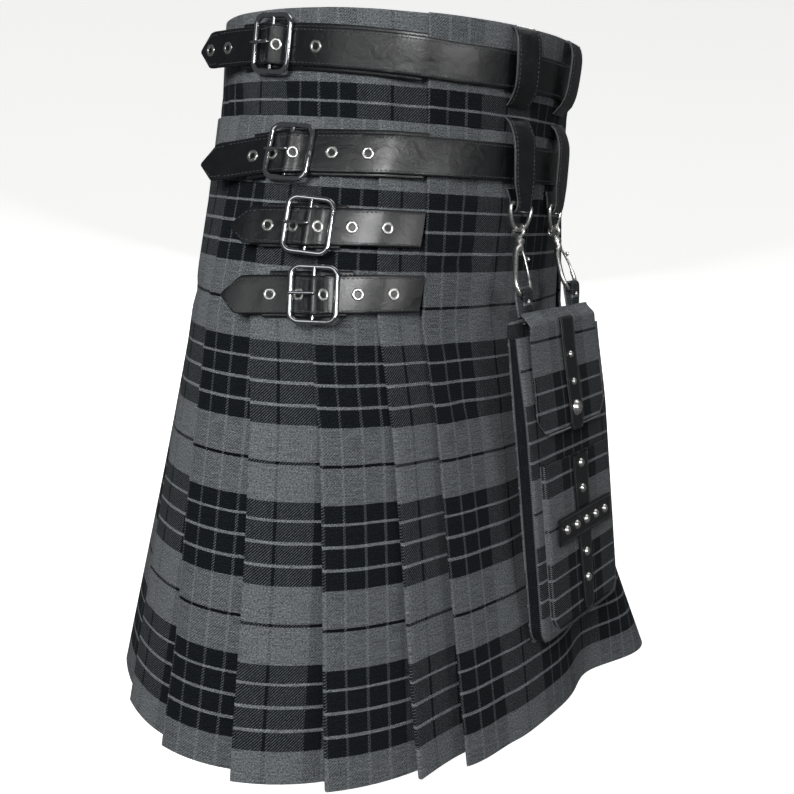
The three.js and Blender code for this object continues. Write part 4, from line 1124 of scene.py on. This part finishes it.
def snapHook(number, high, low):
    # a swivel eye, its barrel, and a bow with a spring gate; y is up the hook
    length = float(np.linalg.norm(high - low))
    eyeTop = hook["eyeWire"] + ring["wire"] + 0.3
    eyeFoot = eyeTop - 2 * hook["eye"]
    turn = np.linspace(0, 2 * np.pi, 28, endpoint=False)
    eyePath = np.stack([0 * turn, eyeTop - hook["eye"] + hook["eye"] * np.cos(turn),
                        hook["eye"] * np.sin(turn)], axis=-1)
    parts = [wire(eyePath, hook["eyeWire"], (1, 0, 0), 12, closed=True)]
    barrel = [[0, 1.2], [2.0, 1.2], [2.6, 0], [3.1, -1], [3.1, -2.4], [4.4, -3], [4.6, -4.4], [4.4, -6],
              [3.2, -6.6], [3.1, -11], [2.9, -13], [0, -13]]
    points, faces = lathe(barrel, 24)
    points = points[:, [0, 2, 1]] + [0, eyeFoot, 0]
    parts.append((points, outward(points, faces)))
    top, foot, half = eyeFoot - 10, -length, tabs["width"] / 2 + 4.4
    knots = np.array([[0, top], [-half * 0.62, top - 6], [-half, foot + 18], [-half, foot + 7],
                      [-half * 0.6, foot + 0.3], [0, foot - 0.4], [half * 0.6, foot + 0.3], [half, foot + 7],
                      [half * 0.98, foot + 16]])
    at = np.linspace(0, len(knots) - 1, 60)
    bow = np.stack([smooth(at, knots[:, 0]), smooth(at, knots[:, 1]), 0 * at], axis=-1)
    thick = np.interp(at, [0, 1.5, 6, 8], [1.5, 1.1, 1.0, 0.85]) * hook["wire"]
    parts.append(wire(bow, thick, (0, 0, 1), 14))
    gateKnots = np.array([[half * 0.98, foot + 15], [half * 0.9, foot + 24], [half * 0.4, top - 4],
                          [0, top - 1]])
    at = np.linspace(0, 3, 20)
    gate = np.stack([smooth(at, gateKnots[:, 0]), smooth(at, gateKnots[:, 1]), 0 * at], axis=-1)
    parts.append(wire(gate, 1.15, (0, 0, 1), 12))
    thumb = [[0, 0], [1.3, 0.2], [1.5, 1.2], [1.5, 3.6], [2.1, 4.2], [2.1, 5.4], [1.2, 6.2], [0, 6.3]]
    points, faces = lathe(thumb, 18)
    points = points[:, [2, 0, 1]] + [half * 0.62, top - 8, 0]
    parts.append((points, outward(points, faces)))
    rise = (high - low) / length
    across = -pocketMatrix[:3, 0]
    out = np.cross(across, rise)
    out = out / np.linalg.norm(out)
    matrix = np.eye(4)
    matrix[:3, 0], matrix[:3, 1], matrix[:3, 2], matrix[:3, 3] = np.cross(rise, out), rise, out, high
    points, faces = moved(merged(*parts), matrix)
    faces = outward(points, faces)
    place(addMesh(f"snapHook{number}", points, asFaces(faces), nickel), "chrome_metal", f"snap_hook_{number}")


for index, (angle, drift) in enumerate(loops["places"]):
    number = index + 1
    loopPieces(f"upperLoop{number}", f"upper_loop_{number}", angle, loops["upper"], drift)
    loopPieces(f"lowerLoop{number}", f"lower_loop_{number}", angle + drift * 70, loops["lower"], drift)
    matrix = onFormMatrix(angle + drift * loops["ringDrop"], loops["ringDrop"], loops["ringOffset"])
    outline = ringLine()
    outline = np.column_stack([outline, np.zeros(len(outline))])
    points, faces = moved(wire(outline, ring["wire"], (0, 0, 1), 14, closed=True), matrix)
    place(addMesh(f"deeRing{number}", points, asFaces(faces), nickel), "chrome_metal", f"d_ring_{number}")
    high = matrix[:3, :3] @ np.array([0, -ring["depth"], 0]) + matrix[:3, 3]
    across = (1 if index == 0 else -1) * tabs["away"]
    grip = np.array([across, -tabs["above"] + hook["gripUp"], -hook["gripIn"]])
    snapHook(number, high, pocketMatrix[:3, :3] @ grip + pocketMatrix[:3, 3])
print("loops, rings and hooks made")

# the cargo pocket, in its own directions: (across, down, out)

pocket = {
    "width": 155, "length": 290, "gusset": 13, "wall": 1.8, "panel": 2, "mouth": 14, "mouthDepth": 9,
    "corner": 16, "edgeRound": 5.0, "thread": 32, "frontWeft": -73, "patchWeft": -92, "flapWeft": -50,
    "gussetThread": 17, "backThread": 20, "backWeft": 31,
    "cut": (0.181, 0.289), "whip": (2.6, 0.42), "whipPitch": 1.9, "whipSlant": 50,
}
patch = {"width": 127, "top": 128, "bottom": 281, "stand": 5, "corner": 18, "cut": (0.137, 0.158)}
flap = {"topWidth": 122, "width": 130, "length": 103, "chamfer": 14, "wall": 2.2, "rise": 3.6,
        "droop": 2.2, "start": 4.8, "top": -6, "cut": (0.13, 0.113)}
cross = {"foot": 280, "topWidth": 30, "bottomWidth": 20, "reach": 52, "top": 179, "bottom": 204,
         "leather": 1.6, "point": 6, "stitchPitch": 3.4, "stitch": (2.4, 0.36)}
studs = {
    "cross": 4.2, "long": [138, 162, 223, 248], "short": 191.5, "shortPitch": 19, "above": 0.3,
    "flap": [(37, 3.2), (62, 3.2), (86, 7.2)], "rivetDown": 12, "rivetLevel": 3.6,
}
gussetColumns = 8  # lines of the tray's grid from its back edge to the front's corner


def inPocket(points):
    return points @ pocketMatrix[:3, :3].T + pocketMatrix[:3, 3]


def pocketCloth(name, outer, inner, threads, node, gusset=False):
    faces, points = closedWall(inPocket(outer), inPocket(inner))
    slots = np.zeros(len(faces), np.int32)
    if gusset:  # both sides of the tray, inside and out
        strips = outer.shape[1] - 1
        column = np.arange((outer.shape[0] - 1) * strips) % strips
        slots[:2 * len(column)] = np.tile(np.minimum(column, strips - 1 - column) < gussetColumns, 2)
    uv = np.concatenate([threads.reshape(-1, 2)] * 2) * mm
    print(name, "area", round(areaOf(outer), 4))
    # the gusset strip takes the darkened tartan, painted shade
    materials = [tartanCloth, gussetShadeCloth] if gusset else tartanCloth
    return place(addMesh(name, points, faces, materials, uv, sharp=60, slots=slots), "tartan_cloth", node)


def gussetDepth(v):
    return pocket["mouthDepth"] + (pocket["gusset"] - pocket["mouthDepth"]) * ease((v - 8) / 95)


def trayGrid(width, top, bottom, depthAt, corner, inset, weft, lengthwise):
    # a box open at its back and its top: down the front, round the foot, and back along the bottom
    foot = pocket["edgeRound"]
    down = np.linspace(top, bottom - corner, 40)
    curve = bottom - corner + (corner - foot) * np.linspace(0.12, 1, 9)
    quarter = np.radians(np.linspace(12, 90, 7))
    rows = [(v, depthAt(v) - inset, v) for v in np.concatenate([down, curve])]
    depthFoot = depthAt(bottom) - inset
    for q in quarter:
        rows.append((bottom - foot + (foot - inset) * math.sin(q),
                     depthFoot - foot * (1 - math.cos(q)), bottom))
    rows += [(bottom - inset, depthFoot * share, bottom) for share in (0.6, 0.3, 0.0)]
    grid, threads = [], []
    sideSteps = np.linspace(0, 1, 7)
    for v, depth, _ in rows:
        into = np.clip((min(v, bottom - 1) - bottom + corner) / corner, 0, 1)
        half = width / 2 - corner * (1 - math.sqrt(1 - into * into * 0.96)) - inset
        bend = min(pocket["edgeRound"], max(depth * 0.8, 0.01))
        turn = np.radians(np.linspace(0, 90, 6))
        side = np.stack([np.full(7, half), (depth - bend) * sideSteps], axis=-1)
        quarterRound = np.stack([half - bend + bend * np.cos(turn[1:]),
                                 depth - bend + bend * np.sin(turn[1:])], axis=-1)
        across = np.linspace(half - bend, 0, 20)[1:]
        frontLine = np.stack([across, np.full(len(across), depth)], axis=-1)
        right = np.vstack([side, quarterRound, frontLine])
        line = np.vstack([right, right[-2::-1] * [-1, 1]])
        grid.append(np.column_stack([line[:, 0], np.full(len(line), v), line[:, 1]]))
        run = np.concatenate([[0], np.cumsum(np.linalg.norm(np.diff(line, axis=0), axis=1))])
        under = depthAt(bottom) - depth if v > bottom - foot - 0.1 else 0
        weave = np.column_stack([run[-1] / 2 - run, np.full(len(line), v + under + weft)])
        if lengthwise:  # the gusset strip runs up and down, so its threads do too
            across = np.minimum(run, run[-1] - run)
            gusset = np.minimum(np.arange(len(line)), np.arange(len(line))[::-1]) < gussetColumns
            weave[gusset] = np.column_stack([np.full(gusset.sum(), v),
                                             across[gusset] + pocket["gussetThread"]])
        threads.append(weave)
    return np.array(grid), np.array(threads)


def whipEdges(name, edges):
    # slanting overlock stitches that bind the raw edges of the pocket's cloth
    rows = []
    for line, out in edges:
        normals = np.broadcast_to(pocketMatrix[:3, :3] @ np.array(out, float), line.shape)
        rows.append(sewAlong(inPocket(line), normals, pocket["whipPitch"], pocket["whip"],
                             pocket["whipSlant"]))
    points, faces = merged(*rows)
    place(addMesh(name + "Overlock", points, asFaces(faces), overlockYarn), "tartan_cloth")


def pocketBody():
    pieces = []
    settings = [
        ("pocketFront", "pocket_front", pocket["width"], pocket["mouth"], pocket["length"], gussetDepth,
         pocket["corner"], kilt["gap"], pocket["frontWeft"]),
        ("patchPocket", "patch_pocket", patch["width"], patch["top"], patch["bottom"],
         lambda v: patch["stand"] + 0 * v, patch["corner"], pocket["gusset"] + 2 * kilt["gap"],
         pocket["patchWeft"]),
    ]
    for name, node, width, top, bottom, depthAt, corner, shift, weft in settings:
        shape = (width, top, bottom, depthAt, corner)
        outer, threads = trayGrid(*shape, 0.0, weft, name == "pocketFront")
        inner, _ = trayGrid(*shape, pocket["wall"], weft, False)
        threads = threads + [pocket["thread"], 0]
        outer, inner = outer + [0, 0, shift], inner + [0, 0, shift]
        pieces.append(pocketCloth(name, outer, inner, threads, node, name == "pocketFront"))
        whipEdges(name, [(outer[:-4, column], out) for column, out in (
            (0, (1, 0, 0.2)), (8, (0.7, 0, 0.7)), (-9, (-0.7, 0, 0.7)), (-1, (-1, 0, 0.2)))])
    return pieces


def flapLevel(v):
    return flap["start"] + (gussetDepth(v) + flap["rise"] - flap["start"]) * ease((v - flap["top"]) / 12)


def flapGrid(side):
    # over the pocket's mouth and down its front, drooping to its sides, with the lower corners cut off
    rows = np.concatenate([np.linspace(flap["top"], 24, 22), np.linspace(27, flap["length"], 26)])
    share = (rows - flap["top"]) / (flap["length"] - flap["top"])
    half = (flap["topWidth"] + (flap["width"] - flap["topWidth"]) * share) / 2
    half = half - np.clip(rows - flap["length"] + flap["chamfer"], 0, None)
    across = np.linspace(-1, 1, 45)
    edge = 1 - 0.55 * np.clip((np.abs(across) - 0.97) / 0.03, 0, 1)
    u = half[:, None] * across[None, :]
    droop = flap["droop"] * np.clip(np.abs(u) / 70, 0, 1.1) ** 2 * ease(share)[:, None]
    w = flapLevel(rows)[:, None] - droop + side * flap["wall"] / 2 * edge[None, :]
    return np.stack([u, np.broadcast_to(rows[:, None], u.shape), w], axis=-1)


def pocketFlap():
    outer, inner = flapGrid(1), flapGrid(-1)
    threads = np.stack([pocket["thread"] - outer[..., 0], outer[..., 1] + pocket["flapWeft"]], axis=-1)
    whipEdges("flap", [(outer[24:, 0], (1, 0, 0.6)), (outer[24:, -1], (-1, 0, 0.6)),
                       (outer[-1], (0, 0.6, 0.8))])
    return pocketCloth("pocketFlapCloth", outer, inner, threads, "pocket_flap")


def slabGrid(outlineHalf, rows, low, high, side, columns=25):
    # a flat panel between two levels whose half width is given at each row
    across = np.linspace(-1, 1, columns)
    edge = np.where(np.abs(across) > 0.985, 0.35, 1.0)
    u = outlineHalf[:, None] * across[None, :]
    level = (low + high) / 2 + side * (high - low) / 2 * edge
    return np.stack(np.broadcast_arrays(u, rows[:, None], level[None, :]), axis=-1)


def pocketBackPanel():
    corner, length = 9, pocket["length"]
    ends = np.concatenate([corner - corner * np.cos(np.radians(np.linspace(0, 90, 8))),
                           np.linspace(corner + 4, length - corner - 4, 40),
                           length - corner + corner * np.sin(np.radians(np.linspace(0, 90, 8)))])
    into = np.clip(np.maximum(corner - ends, ends - length + corner) / corner, 0, 1)
    half = pocket["width"] / 2 - corner * (1 - np.sqrt(np.clip(1 - into ** 2, 0.02, 1)))
    outer = slabGrid(half, ends, -pocket["panel"], 0, 1)
    inner = slabGrid(half, ends, -pocket["panel"], 0, -1)
    threads = np.stack([pocket["backThread"] - outer[..., 0], outer[..., 1] + pocket["backWeft"]], axis=-1)
    return pocketCloth("pocketBackCloth", outer, inner, threads, "pocket_back")


def pocketTabs():
    # a cloth strip folded over the hook, down both sides of the back panel's top
    out = tabs["wall"] / 2
    knots = np.array([
        [tabs["below"], -pocket["panel"] - 0.4 - out], [4, -pocket["panel"] - 0.4 - out],
        [-tabs["above"] + 8, -5.4], [-tabs["above"] + 2, -4.8], [-tabs["above"], -2.2], [-tabs["above"], 0.6],
        [-tabs["above"] + 2, 2.8], [-tabs["above"] + 8, 3], [-1, 0.4 + out], [4, 0.4 + out]])
    at = np.linspace(0, len(knots) - 1, 64)
    line = np.stack([smooth(at, knots[:, 0]), smooth(at, knots[:, 1])], axis=-1)
    run = np.concatenate([[0], np.cumsum(np.linalg.norm(np.diff(line, axis=0), axis=1))])
    across = np.linspace(-1, 1, 9)
    made = []
    for number, middle in ((1, tabs["away"]), (2, -tabs["away"])):
        grids = []
        for side in (1, -1):
            shifted = beside(line, side * out)
            u = middle + across[:, None] * tabs["width"] / 2
            grids.append(np.stack(np.broadcast_arrays(u, shifted[None, :, 0], shifted[None, :, 1]), axis=-1))
        threads = np.stack(np.broadcast_arrays(across[:, None] * 6 + 83, run[None, :] + 70), axis=-1)
        made.append(pocketCloth(f"tabCloth{number}", grids[0], grids[1], threads, f"pocket_tab_{number}"))
    return made


def flatLeather(name, node, half, rows, level):
    # a leather strip on the pocket: rounded edges, sewn along both sides
    rowsThick = np.ones(len(rows))
    rowsThick[[0, -1]] = 0.4
    grids = []
    for side in (1, -1):
        u = half[:, None] * stripAcross[None, :]
        thick = stripThick[None, :] * rowsThick[:, None] * cross["leather"] / 2
        w = level(rows)[:, None] + side * thick
        grids.append(np.stack([u, np.broadcast_to(rows[:, None], u.shape), w], axis=-1))
    faces, points = closedWall(inPocket(grids[0]), inPocket(grids[1]))
    place(addMesh(name, points, faces, blackCowhide, sharp=50), "leather", node)
    rowsSewn = []
    for sign in (-1, 1):
        inset = np.clip(half - 2.2, 0.3, None)
        line = np.stack([sign * inset, rows, level(rows) + cross["leather"] / 2 * 1.02], axis=-1)
        out = np.zeros_like(line)
        out[:, 2] = 1
        line, out = inPocket(line), out @ pocketMatrix[:3, :3].T
        rowsSewn.append(sewAlong(line, out, cross["stitchPitch"], cross["stitch"]))
    points, faces = merged(*rowsSewn)
    place(addMesh(name + "Stitches", points, asFaces(faces), thread), "leather")


def pocketLeather():
    raised = (flap["wall"] + cross["leather"]) / 2 + 0.9
    rows = np.concatenate([np.linspace(2, 30, 20), np.linspace(33, flap["length"] + 3, 26)])
    half = 12 - np.clip(rows - flap["length"] - 3 + 4, 0, None) * 0.8
    flatLeather("flapStripLeather", "flap_strip", half, rows, lambda v: flapLevel(v) + raised)
    faceLevel = pocket["gusset"] + 2 * kilt["gap"] + patch["stand"] + kilt["gap"] + cross["leather"] / 2
    rows = np.concatenate([np.linspace(patch["top"] + 2, cross["foot"] - cross["point"], 40),
                           np.linspace(cross["foot"] - cross["point"] + 1, cross["foot"], 6)])
    half = np.interp(rows, [patch["top"] + 2, cross["foot"] - cross["point"], cross["foot"]],
                     [cross["topWidth"] / 2, cross["bottomWidth"] / 2, 0.8])
    flatLeather("crossUpright", "cross_long", half, rows, lambda v: faceLevel + 0 * v)
    rows = np.linspace(cross["top"], cross["bottom"], 14)
    level = faceLevel + cross["leather"] + kilt["gap"]
    grids = []
    thick = np.interp(np.linspace(-1, 1, 14), stripAcross, stripThick) * cross["leather"] / 2
    u = np.linspace(-cross["reach"], cross["reach"], 60)
    endThick = np.where(np.abs(u) > cross["reach"] - 0.5, 0.4, 1.0)
    for side in (1, -1):
        w = level + side * thick[:, None] * endThick[None, :]
        grids.append(np.stack(np.broadcast_arrays(u[None, :], rows[:, None], w), axis=-1))
    faces, points = closedWall(inPocket(grids[0]), inPocket(grids[1]))
    place(addMesh("crossBar", points, faces, blackCowhide, sharp=50), "leather", "cross_short")
    sewn = []
    out = np.broadcast_to(pocketMatrix[:3, 2], (60, 3))
    for v in (cross["top"] + 2.2, cross["bottom"] - 2.2):
        line = np.stack([u * 0.97, np.full(60, v), np.full(60, level + cross["leather"] / 2)], axis=-1)
        sewn.append(sewAlong(inPocket(line), out, cross["stitchPitch"], cross["stitch"]))
    points, faces = merged(*sewn)
    place(addMesh("crossBarStitches", points, asFaces(faces), thread), "leather")
    return faceLevel + cross["leather"] / 2, level + cross["leather"] / 2, raised


def studShape(radius):
    # a pressed dome on a thin flange
    rise = radius * 0.55
    dome = np.radians(np.linspace(0, 90, 8))
    profile = [[0, -0.6], [radius, -0.6], [radius * 1.02, 0.05], [radius * 0.96, 0.3]]
    profile += [[radius * 0.93 * math.cos(t), 0.3 + rise * math.sin(t)] for t in dome[1:-1]]
    profile += [[0, 0.3 + rise]]
    return lathe(profile, 24)


def pocketStuds(longLevel, shortLevel, raised):
    # domes on the cross and down the flap's strip, and a rivet on each tab
    basis = pocketMatrix[:3, :3].T
    onCross = [(0, v, longLevel + studs["above"], studs["cross"]) for v in studs["long"]]
    onCross += [(k * studs["shortPitch"], studs["short"], shortLevel + studs["above"], studs["cross"])
                for k in (-2, -1, 0, 1, 2)]
    onFlap = [(0, v, flapLevel(v) + raised + cross["leather"] / 2 + studs["above"], radius)
              for v, radius in studs["flap"]]
    onTabs = [(u, -tabs["above"] + studs["rivetDown"], studs["rivetLevel"], tabs["rivet"])
              for u in (tabs["away"], -tabs["away"])]
    for name, node, spots in (("crossStud", "stud_cross", onCross), ("flapStud", "stud_flap", onFlap),
                              ("tabRivet", None, onTabs)):
        for number, (u, v, level, radius) in enumerate(spots, 1):
            points, faces = repeated(studShape(radius), inPocket(np.array([[u, v, level]])), basis[None])
            nodes = [f"{node}_{number}"] if node else []
            place(addMesh(f"{name}{number}", points, asFaces(faces), nickel), "stud_metal", *nodes)


pocketPieces = pocketBody()
flapPiece = pocketFlap()
backPiece = pocketBackPanel()
tabPieces = pocketTabs()
pocketStuds(*pocketLeather())
print("pocket made")

# floor and soft studio light

studio = {
    "floor": -900, "paper": "#f2f2f1", "paperPale": "#f6f6f5", "glow": 0.8,
    "world": "#f4f6f8", "worldStrength": 0.09,
}


def makeFloor():
    # a wide sweep of pale paper: flat below the kilt, curving up far behind it
    along = np.linspace(-6000, 6000, 60)
    across = np.linspace(-6000, 6000, 60)
    x, y = np.meshgrid(along, across, indexing="ij")
    far = np.clip((np.hypot(x, y) - 2400) / 1800, 0, None)
    z = studio["floor"] + 1500 * far ** 2
    points = np.stack([x, y, z], axis=-1).reshape(-1, 3)
    material, tree, shader = newMaterial("seamlessPaper", {"Roughness": 0.95, "Specular IOR Level": 0.1})
    mottle(tree, shader, studio["paper"], studio["paperPale"], 3)
    shader.inputs["Emission Color"].default_value = linear(studio["paper"])
    shader.inputs["Emission Strength"].default_value = studio["glow"]
    floor = addMesh("paperFloor", points, gridFaces(60, 60), material)
    floor.visible_diffuse = floor.visible_glossy = floor.visible_shadow = False  # the room stays dim


def makeLight(name, azimuth, elevation, distance, size, energy, reflected=True, lights=True):
    # a square soft box aimed at the kilt's middle; azimuth as the camera's
    # reflected: it shows in shiny surfaces; lights: it brightens matte ones
    middle = Vector((0, 0, -0.3))
    turn, rise = math.radians(azimuth), math.radians(elevation)
    way = Vector((math.sin(turn) * math.cos(rise), -math.cos(turn) * math.cos(rise), math.sin(rise)))
    data = bpy.data.lights.new(name, "AREA")
    data.shape = "SQUARE"
    data.size = size
    data.energy = energy
    made = bpy.data.objects.new(name, data)
    made.visible_glossy = reflected
    made.visible_diffuse = lights
    bpy.context.scene.collection.objects.link(made)
    aim = way.to_track_quat("Z", "Y").to_matrix().to_4x4()
    made.matrix_world = Matrix.Translation(middle + way * distance) @ aim


makeFloor()
makeLight("keyLight", 281, 26, 2.2, 0.9, 35, reflected=False)
makeLight("sideLight", 350, 12, 2.4, 0.4, 6)
makeLight("softBox", 319, 22, 2.4, 0.5, 21, lights=False)
makeLight("stripBox", 286, 16, 2.4, 1.2, 6, lights=False)
makeLight("topLight", 60, 65, 3.0, 1.8, 18)
makeLight("backLight", 124, 18, 3.0, 1.6, 45)
world = bpy.data.worlds.new("studio")
world.use_nodes = True
world.node_tree.nodes["Background"].inputs["Color"].default_value = linear(studio["world"])
world.node_tree.nodes["Background"].inputs["Strength"].default_value = studio["worldStrength"]
bpy.context.scene.world = world
bpy.context.scene.view_settings.view_transform = "Standard"

print("scene made")
